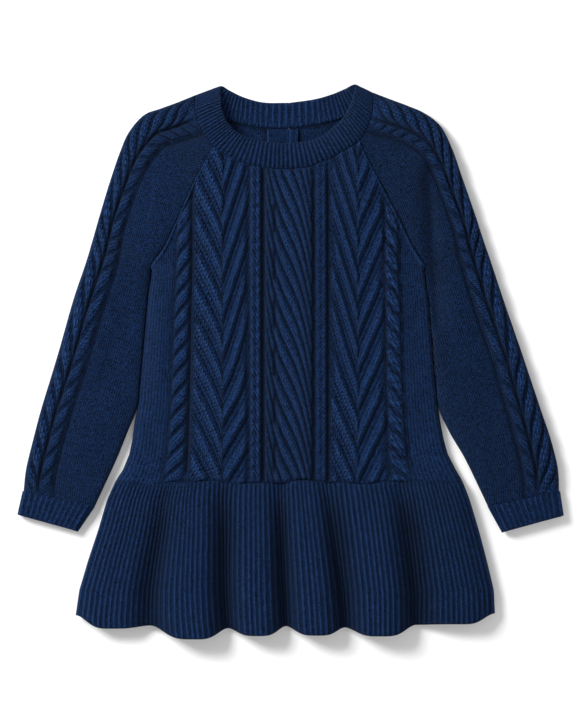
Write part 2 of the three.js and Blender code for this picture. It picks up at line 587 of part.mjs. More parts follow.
// Neck band: one ribbed strip from its seam to its free edge, split at the back neck. Its ribs show on the
// outer side in front and on the inner side at the back, and what rests on the surface is plain.
const FRONT_SHOWS = { from: 5, to: 18 };
const NECK_RELIEF = 0.9;
const NECK_EDGE = 0.8;

function neckBand() {
  const middle = (across, along) => seamRing.getPoint(across).lerp(freeRing.getPoint(across), along);
  const inFront = (across) => across * NECK_STEPS > FRONT_SHOWS.from && across * NECK_STEPS < FRONT_SHOWS.to;
  const ridge = (across, shows) => (shows && isCrest(across, NECK_RIBS) ? NECK_RELIEF : 0);
  const thin = (along) => (along === 1 ? NECK_EDGE : 1);
  const columns = evenSteps(NECK_RIBS * 2);
  const outer = skinOf(middle, gridOf(columns, [0, 0.85, 1]), ({ across, along }) =>
    -thin(along) * (HALF + ridge(across, inFront(across))));
  const inner = skinOf(middle, gridOf(columns, [0, 1]), ({ across, along }) =>
    thin(along) * (HALF * NECK_EDGE + ridge(across, !inFront(across))));
  return wall(outer, inner);
}

// Peplum: a ribbed front with flutes, over a plain back that lies flat
function alongFlutes(name, waistX) {
  let i = 0;
  while (i < FLUTES.length - 2 && FLUTES[i + 1].waistX < waistX) i++;
  const a = FLUTES[i];
  const b = FLUTES[i + 1];
  const t = (waistX - a.waistX) / (b.waistX - a.waistX);
  return lerp(a[name], b[name], name === "hemX" ? t : (1 - Math.cos(Math.PI * t)) / 2);
}

function peplumEdge(y, x) {
  return Math.abs(look(PEPLUM_SIDES, "y", x < 0 ? "left" : "right", y));
}

const PEPLUM = { left: FLUTES[0], right: FLUTES[FLUTES.length - 1] };

function peplumFront() {
  const { left, right } = PEPLUM;
  const middle = (across, along) => {
    const waistX = lerp(left.waistX, right.waistX, across);
    const end = waistX < 0 ? left : right;
    const straight = lerp(waistX, alongFlutes("hemX", waistX), along);
    const y = lerp(WAIST_Y - SEAM_GAP / 2, alongFlutes("hemY", waistX), along);
    const x = straight * (peplumEdge(y, straight) / Math.abs(lerp(end.waistX, end.hemX, along)));
    const spread = Math.sin((along * Math.PI) / 2);
    const top = lerp(alongFlutes("waistZ", waistX), alongFlutes("hemZ", waistX), spread);
    const inFrom = Math.min(across, 1 - across) * (right.waistX - left.waistX) * lerp(1, 1.2, along);
    const z = FOLD_HEIGHT + 2 * FOLD_GAP + (top - FOLD_HEIGHT) * roll(inFrom, SIDE_ROUND);
    return new THREE.Vector3(x, y, z);
  };
  const rows = [0, 0.04, 0.16, 0.4, 0.7, 0.97, 1];
  const outer = skinOf(middle, gridOf(evenSteps(PEPLUM_RIBS * 2), rows), ({ across, along }) => {
    const raised = isCrest(across, PEPLUM_RIBS) && along > 0 && along < 1;
    return HALF + (raised ? RIB_RELIEF : 0);
  });
  const inner = skinOf(middle, gridOf(evenSteps(36), [0, 0.08, 0.25, 0.5, 0.75, 1]), () => -HALF);
  return wall(outer, inner);
}

const BACK_HEM_RISE = 12;
const BACK_HEM_COLUMNS = [
  0, 0.002, 0.007, 0.014, 0.022, 0.12, 0.25, 0.4, 0.5045, 0.6, 0.75, 0.88, 0.978, 0.986, 0.993, 0.998, 1,
];

function peplumBack() {
  const { left, right } = PEPLUM;
  const middle = (across, along) => {
    const y = lerp(WAIST_Y - SEAM_GAP / 2, BACK_HEM_Y + BACK_HEM_RISE * Math.abs(2 * across - 1), along);
    const waistX = lerp(left.waistX, right.waistX, across);
    const edge = peplumEdge(y, waistX);
    const x = (waistX / Math.abs((waistX < 0 ? left : right).waistX)) * edge;
    const rise = FOLD_HEIGHT - 2 * FOLD_GAP - BACK_MID;
    return new THREE.Vector3(x, y, BACK_MID + rise * (1 - roll(edge - Math.abs(x), BACK_ROUND)));
  };
  const grid = gridOf(BACK_HEM_COLUMNS, evenSteps(6));
  return wall(skinOf(middle, grid, () => -HALF), skinOf(middle, grid, () => HALF));
}

// Cuff: a flattened ribbed ring between the sleeve's last section and its own hem
const LEFT_CUFF = {
  seamOut: [-239.7, -118],
  seamIn: [-178.4, -130.8],
  hemOut: [-244.2, -138.2],
  hemIn: [-193.2, -152.2],
};
const RIGHT_CUFF = {
  seamOut: [241.2, -118],
  seamIn: [179.7, -130.8],
  hemOut: [244.3, -139],
  hemIn: [192.2, -153.2],
};
const CUFF_END_RADIUS = 3.8;
const CUFF_RELIEF = 0.9;

function cuff({ seamOut, seamIn, hemOut, hemIn }) {
  const corner = (a, b, along) => new THREE.Vector3(lerp(a[0], b[0], along), lerp(a[1], b[1], along), 0);
  const r = CUFF_END_RADIUS;
  const middle = (across, along) => {
    const start = corner(seamOut, hemOut, along);
    const end = corner(seamIn, hemIn, along);
    const width = start.distanceTo(end);
    const flat = width - 2 * r;
    const bend = Math.PI * r;
    const place = (((across % 1) + 1) % 1) * 2 * (flat + bend);
    const z0 = r + HALF;
    const on = (distance, z) => start.clone().lerp(end, distance / width).setZ(z);
    if (place < flat) return on(r + place, z0 + r);
    if (place < flat + bend) {
      const turn = (place - flat) / r;
      return on(r + flat + r * Math.sin(turn), z0 + r * Math.cos(turn));
    }
    if (place < 2 * flat + bend) return on(r + flat - (place - flat - bend), z0 - r);
    const turn = (place - 2 * flat - bend) / r;
    return on(r - r * Math.sin(turn), z0 - r * Math.cos(turn));
  };
  const columns = evenSteps(CUFF_RIBS * 2);
  const sign = seamOut[0] < 0 ? 1 : -1;
  const outer = skinOf(middle, gridOf(columns, [0, 0.3, 0.7, 1]), ({ across, along }) => {
    const raised = isCrest(across, CUFF_RIBS) && middle(across, along).z > r;
    return sign * (HALF + (raised ? CUFF_RELIEF : 0));
  }, true);
  const inner = skinOf(middle, gridOf(columns, [0, 1]), () => -sign * HALF, true);
  return wall(outer, inner, { ring: true });
}

// Placket bands on the inner side of the back, to each side of its slit
const PLACKET = { from: 100, to: 209.2, rise: 1.6, left: [-21.2, -1.7], right: [-0.3, 7] };
const SLIT = { x: -1, width: 1.4 };

function placketBand([fromX, toX]) {
  const { from, to, rise } = PLACKET;
  const band = new THREE.BoxGeometry(toX - fromX, to - from, rise);
  band.translate((fromX + toX) / 2, (from + to) / 2, CLOTH + FOLD_GAP + rise / 2);
  return band;
}

const wasm = await Module();
wasm.setup();

function solidOf(geometry) {
  const bare = geometry.clone();
  bare.deleteAttribute("normal");
  bare.deleteAttribute("uv");
  const merged = mergeVertices(bare, 1e-3);
  const triVerts = new Uint32Array(merged.index.array);
  const vertProperties = merged.attributes.position.array;
  return new wasm.Manifold(new wasm.Mesh({ numProp: 3, vertProperties, triVerts }));
}

function geometryOf(solid) {
  const mesh = solid.getMesh();
  const geometry = new THREE.BufferGeometry();
  geometry.setAttribute("position", new THREE.BufferAttribute(mesh.vertProperties, 3));
  geometry.setIndex(new THREE.BufferAttribute(mesh.triVerts, 1));
  geometry.computeVertexNormals();
  return geometry;
}

// The back opens from the neck down, so that the head goes through
function slitBack() {
  const past = PLACKET.to + 10;
  const slit = new THREE.BoxGeometry(SLIT.width, past - PLACKET.from, 20);
  slit.translate(SLIT.x, (past + PLACKET.from) / 2, 0);
  return geometryOf(solidOf(backBody()).subtract(solidOf(slit)));
}

// Turns a wall's faces round where its columns run against the outward side
function facingOut(geometry) {
  const bare = geometry.index ? geometry.toNonIndexed() : geometry;
  const p = bare.attributes.position;
  const [a, b, c] = [new THREE.Vector3(), new THREE.Vector3(), new THREE.Vector3()];
  let volume = 0;
  for (let i = 0; i < p.count; i += 3) {
    a.fromBufferAttribute(p, i);
    b.fromBufferAttribute(p, i + 1);
    c.fromBufferAttribute(p, i + 2);
    volume += a.dot(b.clone().cross(c));
  }
  if (volume > 0) return bare;
  for (let i = 0; i < p.count; i += 3) {
    b.fromBufferAttribute(p, i + 1);
    c.fromBufferAttribute(p, i + 2);
    p.setXYZ(i + 1, c.x, c.y, c.z);
    p.setXYZ(i + 2, b.x, b.y, b.z);
  }
  bare.computeVertexNormals();
  return bare;
}

const dress = new THREE.Group();

function addPiece(name, geometry, color = NAVY) {
  const material = new THREE.MeshStandardMaterial({ color, roughness: 0.95, metalness: 0 });
  const mesh = new THREE.Mesh(facingOut(geometry), material);
  mesh.name = name;
  dress.add(mesh);
}

addPiece("front_body", frontBody());
addPiece("back_body", slitBack());
addPiece("left_sleeve", sleeveWall(LEFT_SLEEVE, 1));
addPiece("right_sleeve", sleeveWall(RIGHT_SLEEVE, -1));
addPiece("neck_band", neckBand());
addPiece("left_cuff", cuff(LEFT_CUFF));
addPiece("right_cuff", cuff(RIGHT_CUFF));
addPiece("peplum_front", peplumFront());
addPiece("peplum_back", peplumBack());
addPiece("placket_left", placketBand(PLACKET.left), NAVY_INSIDE);
addPiece("placket_right", placketBand(PLACKET.right), NAVY_INSIDE);

export default dress;
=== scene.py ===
import math

import bmesh
import bpy
import numpy as np
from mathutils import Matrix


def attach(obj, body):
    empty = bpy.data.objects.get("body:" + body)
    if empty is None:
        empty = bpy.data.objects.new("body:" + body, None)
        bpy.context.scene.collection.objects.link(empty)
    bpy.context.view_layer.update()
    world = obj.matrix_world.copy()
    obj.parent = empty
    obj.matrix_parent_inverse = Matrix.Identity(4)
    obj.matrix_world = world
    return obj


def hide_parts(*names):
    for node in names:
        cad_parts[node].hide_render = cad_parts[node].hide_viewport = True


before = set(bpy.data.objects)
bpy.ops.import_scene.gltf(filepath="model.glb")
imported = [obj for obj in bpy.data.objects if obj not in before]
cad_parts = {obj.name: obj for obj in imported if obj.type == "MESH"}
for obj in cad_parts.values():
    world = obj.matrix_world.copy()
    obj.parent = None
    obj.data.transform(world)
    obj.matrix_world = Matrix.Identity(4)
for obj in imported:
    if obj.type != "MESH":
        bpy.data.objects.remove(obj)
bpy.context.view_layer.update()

# Front of the body
# A knitted panel of navy wool yarn, shaped to the raglans and neck, with seven cable columns on plain knit.
# It is sewn to the sleeves along the raglans, to the neck band above and to the peplum at the waist.
MM = 0.001
CLOTH = 2.3
HALF = CLOTH / 2
BODY_TOP = 11.2
FOLD_HEIGHT = 5.6
FOLD_GAP = 0.3
SEAM_GAP = 0.5
NECK_GAP = 0.2
RAGLAN_GAP = 0.3
ARMPIT_EASE = 0.8
SIDE_ROUND = 13
WAIST_Y = -108.4
WALE = 2.1
COURSE = 1.9
STRAND_COURSE = 2.2
ROOT = "root"

# Side folds: height up the dress, left fold, right fold
BODY_SIDES = np.array([
    (84.6, -123.6, 119.2), (70, -125.4, 121.2), (55, -127.6, 123.4), (10, -131.6, 127.1),
    (-39, -136.1, 131.6), (-57, -139.6, 134.3), (-71, -141.5, 137.1), (-84, -144.2, 140.7),
    (-98, -149.9, 147.9), (-108.4, -156.8, 153.9),
])
ARMPIT_Y = BODY_SIDES[0, 0]

# Sleeve sections from neck to cuff, eight on the raglan: outer fold x y, front edge x y, back edge x y
LEFT_SLEEVE = np.array([
    (-85.4, 239.9, -70.04, 194.02, -63.7, 221), (-102.6, 232.6, -77.2, 180.5, -71, 201),
    (-117, 227.2, -84.2, 167.9, -79, 184), (-131.2, 221.9, -89.6, 157, -87, 166),
    (-145.2, 206.2, -96.1, 142, -95.6, 146), (-152.5, 189.9, -103.1, 126, -103, 128),
    (-161.2, 164.7, -112.8, 105.3, -112.8, 106), (-171.3, 131.4, -126.2, 84.6, -126.2, 84.6),
    (-177, 111.5, -126.9, 76.5, -126.9, 76.5), (-183, 91.2, -129.2, 62, -129.2, 62),
    (-195, 55.8, -132.2, 30, -132.2, 30), (-208, 10.1, -136, -12, -136, -12),
    (-216.2, -16.9, -138.7, -40, -138.7, -40), (-224.4, -43.8, -147.4, -62, -147.4, -62),
    (-231.5, -70.9, -157, -86, -157, -86), (-237.9, -97.8, -168, -110, -168, -110),
    (-240, -117.3, -177.4, -130.1, -177.4, -130.1),
])
RIGHT_SLEEVE = np.array([
    (73.8, 241.9, 62.86, 198.57, 61.7, 225.03), (91, 235.2, 69.2, 184.5, 68, 204),
    (105.3, 229.8, 76.7, 170, 75.6, 186), (119.6, 223.7, 83.7, 157, 83.4, 167),
    (134, 212.6, 91.2, 143, 91.4, 148), (144, 194, 100, 126, 100, 129),
    (154, 165.7, 109.8, 106, 109.8, 107), (165.9, 131.5, 121.8, 84.6, 121.8, 84.6),
    (172.4, 111.5, 122.6, 76.5, 122.6, 76.5), (179.4, 91.2, 125.1, 62, 125.1, 62),
    (191.2, 55.8, 128, 30, 128, 30), (207.1, 10.1, 131.7, -12, 131.7, -12),
    (216.2, -16.9, 134.2, -40, 134.2, -40), (225.2, -43.8, 143.6, -62, 143.6, -62),
    (234.2, -70.9, 157.6, -86, 157.6, -86), (240.6, -97.8, 169.4, -110, 169.4, -110),
    (241.4, -117.3, 178.9, -130.1, 178.9, -130.1),
])
RAGLAN_ROWS = 7
OUT, FRONT, BACK = slice(0, 2), slice(2, 4), slice(4, 6)

# Neck band stations from the back split round the left side and the front: seam x y z, free edge x y z
NECK_BAND = np.array([
    (-1.05, 210.4, 1.3, -1.05, 233.4, 1.6), (-25.7, 211.3, 1.5, -24.8, 233.8, 1.6),
    (-45.5, 214.9, 1.6, -42.8, 238.6, 1.8), (-63, 221, 1.9, -53.6, 243.6, 3),
    (-84, 239.4, 5.6, -61.9, 247.4, 7.6), (-86, 228.2, 9.4, -62.4, 236.4, 12.2),
    (-82.8, 215.6, 11.4, -61.4, 226, 14.2), (-76.6, 203.9, 11.6, -57.4, 216.3, 15),
    (-69.4, 194.3, 11.6, -51.6, 209, 15), (-55.2, 184.6, 11.6, -42.7, 203.1, 15),
    (-37.3, 177.4, 11.6, -31, 199.1, 15), (-18.5, 174, 11.6, -16.7, 196.4, 15),
    (-1.4, 173.3, 11.6, -2.3, 195.9, 15), (17.6, 175.8, 11.6, 12.2, 197.3, 15),
    (35.5, 183, 11.6, 25.6, 201.5, 15), (49.7, 190.7, 11.6, 37.3, 209.3, 15),
    (62.2, 198.8, 11.6, 47.1, 218.9, 15), (69.4, 211.1, 11.4, 52.4, 227.9, 14.2),
    (73.4, 226.4, 9.4, 56, 238, 12.2), (72.8, 241.6, 5.6, 57.4, 248.9, 7.6),
    (61, 225, 1.9, 48.6, 245.6, 3), (44.6, 218.5, 1.6, 38.3, 241.4, 1.8),
    (24.8, 214, 1.5, 23, 236.9, 1.6), (-0.95, 210.4, 1.3, -0.95, 233.4, 1.6),
])
NECK_SPANS = len(NECK_BAND) - 1
SEAM, FREE = slice(0, 3), slice(3, 6)
FRONT_FIRST, FRONT_LAST = 8, 16


def curve(points, t):
    """Points at t, from 0 to 1, on a smooth centripetal curve through the given points."""
    points = np.asarray(points, float)
    if points.shape[1] == 2:
        points = np.column_stack([points, np.zeros(len(points))])
    ends = np.vstack([2 * points[0] - points[1], points, 2 * points[-1] - points[-2]])
    place = np.clip(t, 0, 1) * (len(points) - 1)
    i = np.minimum(place.astype(int), len(points) - 2)
    w = (place - i)[:, None]
    p0, p1, p2, p3 = (ends[i + k] for k in range(4))
    d0, d1, d2 = (np.sqrt(np.linalg.norm(b - a, axis=1))[:, None] for a, b in ((p0, p1), (p1, p2), (p2, p3)))
    go = ((p1 - p0) / d0 - (p2 - p0) / (d0 + d1) + (p2 - p1) / d1) * d1
    come = ((p2 - p1) / d1 - (p3 - p1) / (d1 + d2) + (p3 - p2) / d2) * d1
    return p1 + go * w + (3 * (p2 - p1) - 2 * go - come) * w**2 + (2 * (p1 - p2) + go + come) * w**3


def roll(distance, radius):
    """Rises from 0 at the edge of a fold to 1 where the cloth lies level."""
    t = np.clip(distance / radius, 0, 1)
    return np.sqrt(1 - (1 - t) ** 2)


def smooth(value, low, high):
    t = np.clip((value - low) / (high - low), 0, 1)
    return t * t * (3 - 2 * t)


def mix(a, b, t):
    return a + (b - a) * t


def side_fold(x, y):
    """Distance of the side fold from the middle line, at a height and on the side where x is."""
    rows = BODY_SIDES[::-1]
    left = np.interp(y, rows[:, 0], -rows[:, 1])
    return np.where(x < 0, left, np.interp(y, rows[:, 0], rows[:, 2]))


def flare(x, y):
    """Moves the outer columns outwards below the armpits and leaves the middle ones upright."""
    armpit = np.where(x < 0, -BODY_SIDES[0, 1], BODY_SIDES[0, 2])
    reach = np.maximum(0, (np.abs(x) - 60) / (armpit - 60))
    return x + np.sign(x) * (side_fold(x, y) - armpit) * reach**2


def crease_depth(y, right):
    """Depth of the crease between body and sleeve, which dies out above the armpit."""
    fade = np.clip((y - ARMPIT_Y) / np.where(right, 95, 60), 0, 1)
    return (1 - fade) ** 2 * (BODY_TOP - FOLD_HEIGHT)


def raglan_y(x, edge):
    """Height of the raglan seam at x, from the front or back edges of both sleeves."""
    t = np.linspace(0, 1, 400) * RAGLAN_ROWS
    left = curve(LEFT_SLEEVE[: RAGLAN_ROWS + 2, edge], t / (RAGLAN_ROWS + 1))[::-1]
    right = curve(RIGHT_SLEEVE[: RAGLAN_ROWS + 2, edge], t / (RAGLAN_ROWS + 1))
    return np.where(x < 0, np.interp(x, left[:, 0], left[:, 1]), np.interp(x, right[:, 0], right[:, 1]))


def armpit_ease(x, radius):
    side = np.where(x < 0, -BODY_SIDES[0, 1], BODY_SIDES[0, 2])
    return ARMPIT_EASE * (1 - roll(side - np.abs(x), radius))


def front_top(x):
    """Top edge of the front: the raglans, with the neck seam between them."""
    neck = curve(NECK_BAND[:, SEAM], np.linspace(FRONT_FIRST, FRONT_LAST, 300) / NECK_SPANS)
    seam = raglan_y(x + np.sign(x) * RAGLAN_GAP, FRONT) - SEAM_GAP - armpit_ease(x, SIDE_ROUND)
    between = (x > neck[0, 0]) & (x < neck[-1, 0])
    return np.where(between, np.interp(x, neck[:, 0], neck[:, 1]) - NECK_GAP, seam)


def soft_folds(x, y, folds):
    """Sum of soft ridges and troughs, each from a point to a point, with its width and height."""
    total = np.zeros_like(x)
    for x0, y0, x1, y1, width, height in folds:
        along = np.array([x1 - x0, y1 - y0])
        length = np.hypot(*along)
        along = along / length
        place = (x - x0) * along[0] + (y - y0) * along[1]
        off = (x - x0) * along[1] - (y - y0) * along[0]
        ends = smooth(place, -width, width) * smooth(length - place, -width, width)
        total += height * ends * np.exp(-((off / width) ** 2))
    return total


# Folds of the front: from x y to x y, width, height
FRONT_FOLDS = [
    (-112, 60, -121, -60, 9, 1.6), (-104, 70, -110, -20, 7, -1.2), (104, 118, 112, 30, 9, -2.6),
    (112, 40, 124, -60, 10, -1.8), (-128, -70, -100, -100, 9, -1.2), (118, -66, 96, -100, 10, -1.4),
    (-60, -96, -20, -98, 8, -0.7), (40, -92, 80, -100, 8, -0.9), (-86, 140, -100, 104, 8, 1.0),
    (84, 146, 98, 112, 8, -1.2),
]
DOME = 4.2


def front_height(x, y):
    crease = crease_depth(y, x > 0) * (1 - roll(side_fold(x, y) - np.abs(x), SIDE_ROUND))
    rise = smooth(y, WAIST_Y, WAIST_Y + 60) * smooth(front_top(np.clip(x, -118, 114)) - y, 0, 55)
    dome = DOME * rise * (1 - np.clip(np.abs(x + 4) / 122, 0, 1) ** 2)
    return BODY_TOP + FOLD_GAP / 2 - crease + dome + soft_folds(x, y, FRONT_FOLDS)


# Heights at which the strands of each cable cross its middle line, from the neck to the waist
RIGHT_ARMS = [190, 154.4, 118.4, 77.9, 41, 6, -25.7, -54, -82, -111.2, -142, -175, -208]
EVEN_ARMS = [204 - 32.4 * k for k in range(13)]
ODD_ARMS = [190 - 32.4 * k for k in range(13)]
LEFT_ARMS = [206 - 31.8 * k for k in range(13)]
BRAID_ARMS = [274.5 - 21.33 * k for k in range(23)]
LEFT_ROPE = [236 - 18 * k for k in range(22)]
RIGHT_ROPE = [240 - 18.4 * k for k in range(22)]
THIN_ROPE = [232 - 16 * k for k in range(24)]
# Slopes of a cable's strands: left side near neck and near waist, right side near neck and near waist
ROPE_SLOPES = (1.2, 1.2, 1.2, 1.2)
ROPE_SLOPES_BACK = (-1.2, -1.2, -1.2, -1.2)
BRAID_SLOPES = (-2.15, -2.15, -2.15, -2.15)
# Cable columns from left to right: kind, middle, half width, slopes, heights of the left and right strands
FRONT_CABLES = [
    ("rope", -95.9, 6.6, ROPE_SLOPES, LEFT_ROPE, LEFT_ROPE),
    ("chevron", -61.6, 25, (2.0, 2.3, 3.0, 1.7), LEFT_ARMS, RIGHT_ARMS),
    ("plait", -31.3, 5.6, ROPE_SLOPES_BACK, THIN_ROPE, THIN_ROPE),
    ("braid", -1.6, 22, BRAID_SLOPES, BRAID_ARMS, BRAID_ARMS),
    ("plait", 27.6, 5.6, ROPE_SLOPES, THIN_ROPE, THIN_ROPE),
    ("chevron", 59.9, 24, (3.0, 2.1, 2.2, 2.1), EVEN_ARMS, ODD_ARMS),
    ("rope", 90.6, 6.6, ROPE_SLOPES_BACK, RIGHT_ROPE, RIGHT_ROPE),
]
SLOPES_FROM, SLOPES_TO = 60, -50
STRAND_HEIGHT = 3.7
STRAND_HALF = 0.27
WALES_IN_STRAND = 4


def rounded(distance, half):
    """Section of a round strand: 1 in its middle and 0 at its sides."""
    return np.sqrt(np.clip(1 - (distance / half) ** 2, 0, 1))


# How the arms of a chevron rise to their vertex, crease along their sides, end unevenly and lie on plain knit
VERTEX_RISE, VERTEX_REACH = 3.2, 3.5
ARM_CREASE, LIT_CREASE = 0.06, 0.4
ARM_END, ARM_UNEVEN = 2.5, 1.8
GROUND, GROUND_ROUND = 0.08, 0.12
# How far strands bend upright at a cable's edges, as a share of its half width, and how late
EDGE_BENDS = {"rope": (0.9, 6), "plait": (0.9, 6), "braid": (1.6, 3)}
GROOVE_HALF, ROPE_GROOVE = 0.12, 0.85
COLUMN_GROOVE_WIDTH, COLUMN_GROOVE_END = 1.5, 6
# Grooves beside the columns, which sink the relief and where shade is painted: x, y from, y to, strength
COLUMN_GROOVES = [
    (-88.4, -98, 150, 1.0), (-39.4, -104, 160, 0.45), (-24.6, -106, 170, 1.0), (20.6, -106, 160, 0.55),
    (33.6, -106, 165, 1.0), (84.2, -104, 140, 0.4), (-103.4, -98, 110, 0.5), (97.8, -98, 110, 0.5),
]
# Places where a strand of the braid dives under its left edge: height of the middle of each
BRAID_DIVES = [128.3 - 42.66 * k for k in range(6)]
DIVE_AT, DIVE_WIDTH, DIVE_HALF = -12.6, 1.5, 14


def cable_strands(kind, dx, y, half, slopes, heights):
    """Relief and grooves of one cable, from 0 to 1, with the strand number and the distance along it."""
    left = dx < 0
    lower = smooth(-y, -SLOPES_FROM, -SLOPES_TO)
    slope = np.where(left, mix(slopes[0], slopes[1], lower), mix(slopes[2], slopes[3], lower))
    share = np.clip(dx / half, -1, 1)
    if kind == "chevron":
        slope = np.where(left, -slope, slope)
        shear = slope * dx + VERTEX_RISE * (1 - np.exp(-np.abs(dx) / VERTEX_REACH))
    else:
        size, power = EDGE_BENDS[kind]
        shear = slope * dx + np.sign(slope) * np.sign(share) * size * np.abs(share) ** power * half
    at = y - shear
    number = np.where(
        left,
        np.interp(-at, -np.array(heights[0]), np.arange(len(heights[0]))),
        np.interp(-at, -np.array(heights[1]), np.arange(len(heights[1]))),
    )
    from_middle = np.abs((number + 0.5) % 1 - 0.5)
    along = (dx + np.abs(slope) * y) / np.sqrt(1 + slope**2)
    if kind == "chevron":
        # Shade is painted along each arm's crease, in full on the side away from the key light and weaker, by
        # LIT_CREASE, on its lit side; the crease also sinks the relief.
        shaded = np.where(left, number % 1 > 0.5, number % 1 < 0.5)
        groove = np.exp(-(((from_middle - STRAND_HALF) / ARM_CREASE) ** 2)) * np.where(shaded, 1, LIT_CREASE)
        reach = half - ARM_END + ARM_UNEVEN * np.sin(2.4 * np.round(number) + half)
        strand = rounded(from_middle, STRAND_HALF + 0.03) * smooth(reach - np.abs(dx), -1.5, 2.5)
        band = GROUND + GROUND_ROUND * rounded(0.5 - from_middle, 0.5 - STRAND_HALF)
        relief = np.maximum(strand, band) * (1 - 0.5 * groove)
    else:
        groove = np.exp(-(((0.5 - from_middle) / GROOVE_HALF) ** 2)) * (1 if kind == "braid" else ROPE_GROOVE)
        hollow = np.exp(-(((0.5 - from_middle) / 0.2) ** 2))
        relief = (1 - 0.9 * hollow) * mix(0.8, 1, rounded(from_middle, 0.5))
        if kind == "rope":
            relief = relief * mix(0.25, 1, rounded(np.abs(share), 1))
            groove = 0.75 * groove
        if kind == "plait":
            ribs = np.abs(np.sin(np.pi * share))
            relief = mix(0.75, 1, relief) * mix(0.4, 0.9, ribs)
            groove = 0.25 * groove + 0.4 * np.exp(-((dx / 0.9) ** 2))
    edge = smooth(half - np.abs(dx), 0, 2.4)
    return relief * edge, groove * edge, number, along


def cable_field(x, y, cables):
    """Relief, grooves, strand place and cable mask of a panel with several cable columns. Shade is painted
    into the wool's colour along the grooves.
    """
    relief, groove, mask = np.zeros_like(x), np.zeros_like(x), np.zeros_like(x)
    number, along = x / WALE, y.copy()
    for kind, middle, half, slopes, left, right in cables:
        dx = x - middle
        inside = np.abs(dx) < half
        one, dark, strand, place = cable_strands(kind, dx, y, half, slopes, (left, right))
        if kind == "braid":
            for dive in BRAID_DIVES:
                near = smooth(DIVE_HALF - np.abs(y - dive), -3, 5)
                pit = np.exp(-(((dx - DIVE_AT) / DIVE_WIDTH) ** 2)) * near
                dark = np.maximum(dark, pit)
                one = one * (1 - 0.8 * pit)
        relief = np.where(inside, one, relief)
        groove = np.where(inside, dark, groove)
        number = np.where(inside, strand * WALES_IN_STRAND + 0.5, number)
        along = np.where(inside, place, along)
        mask = np.where(inside, 1.0, mask)
    for at, low, high, strength in COLUMN_GROOVES:
        ends = smooth(y, low - COLUMN_GROOVE_END, low) * smooth(-y, -high - COLUMN_GROOVE_END, -high)
        beside = strength * np.exp(-(((x - at) / COLUMN_GROOVE_WIDTH) ** 2)) * ends
        groove = np.maximum(groove, beside)
        relief = relief * (1 - 0.6 * beside) - 0.3 * beside
    return relief, groove, number, along, mask


class Knitting:
    """What a piece's surface holds at each of its points: height, stitches, strands, and the shade and
    highlight painted into its colour.
    """

    def __init__(self, offset, knit, strand=None, cable=None, depth=None):
        self.offset, self.knit = offset, knit
        self.strand = knit if strand is None else strand
        self.cable = np.zeros(len(knit)) if cable is None else cable
        self.depth = np.ones(len(knit)) if depth is None else depth


def cloth_piece(name, columns, rows, middle, surface, side=1, ring=False, slit=None):
    """A grid with a second layer raised from it, laid over a form. middle gives the middle of the cloth from
    across and along. surface gives the Knitting from those and whether a point is on the outer layer."""
    bm = bmesh.new()
    bmesh.ops.create_grid(bm, x_segments=columns, y_segments=rows, size=0.5)
    bmesh.ops.translate(bm, verts=bm.verts, vec=(0.5, 0.5, 0))
    if slit:
        cut = []
        for face in bm.faces:
            centre = face.calc_center_median()
            if abs(centre.x - slit[0]) < 0.5 / columns and centre.y > slit[1]:
                cut.append(face)
        bmesh.ops.delete(bm, geom=cut, context="FACES")
    raised = bmesh.ops.extrude_face_region(bm, geom=bm.faces[:], use_keep_orig=True)
    layer = [part for part in raised["geom"] if isinstance(part, bmesh.types.BMVert)]
    bmesh.ops.translate(bm, verts=layer, vec=(0, 0, 1))
    if ring:
        rims = [face for face in bm.faces if abs(face.normal.x) > 0.5]
        bmesh.ops.delete(bm, geom=rims, context="FACES_ONLY")
    bmesh.ops.recalc_face_normals(bm, faces=bm.faces)
    if side < 0:
        bmesh.ops.reverse_faces(bm, faces=bm.faces)
    mesh = bpy.data.meshes.new(name)
    bm.to_mesh(mesh)
    bm.free()
    flat = np.empty(len(mesh.vertices) * 3)
    mesh.vertices.foreach_get("co", flat)
    u, v, layer = flat.reshape(-1, 3).T
    outer = layer > 0.5
    step = 1e-3
    low_u, high_u = (u - step, u + step) if ring else (np.maximum(u - step, 0), np.minimum(u + step, 1))
    across = middle(high_u, v) - middle(low_u, v)
    along = middle(u, np.minimum(v + step, 1)) - middle(u, np.maximum(v - step, 0))
    normal = side * np.cross(across, along)
    normal /= np.maximum(np.linalg.norm(normal, axis=1), 1e-9)[:, None]
    made = surface(u, v, outer)
    at = middle(u, v) + normal * made.offset[:, None]
    mesh.vertices.foreach_set("co", (at * MM).astype(np.float32).ravel())
    corners = np.empty(len(mesh.loops), np.int32)
    mesh.loops.foreach_get("vertex_index", corners)
    for label, values in (("knit", made.knit), ("strand", made.strand)):
        mesh.uv_layers.new(name=label).data.foreach_set("uv", values[corners].astype(np.float32).ravel())
    for label, values in (("cable", made.cable), ("depth", made.depth)):
        mesh.attributes.new(label, "FLOAT", "POINT").data.foreach_set("value", values.astype(np.float32))
    if ring:
        joined = bmesh.new()
        joined.from_mesh(mesh)
        bmesh.ops.remove_doubles(joined, verts=joined.verts, dist=1e-6)
        joined.to_mesh(mesh)
        joined.free()
    mesh.shade_smooth()
    mesh.update()
    piece = bpy.data.objects.new(name, mesh)
    bpy.context.scene.collection.objects.link(piece)
    return piece


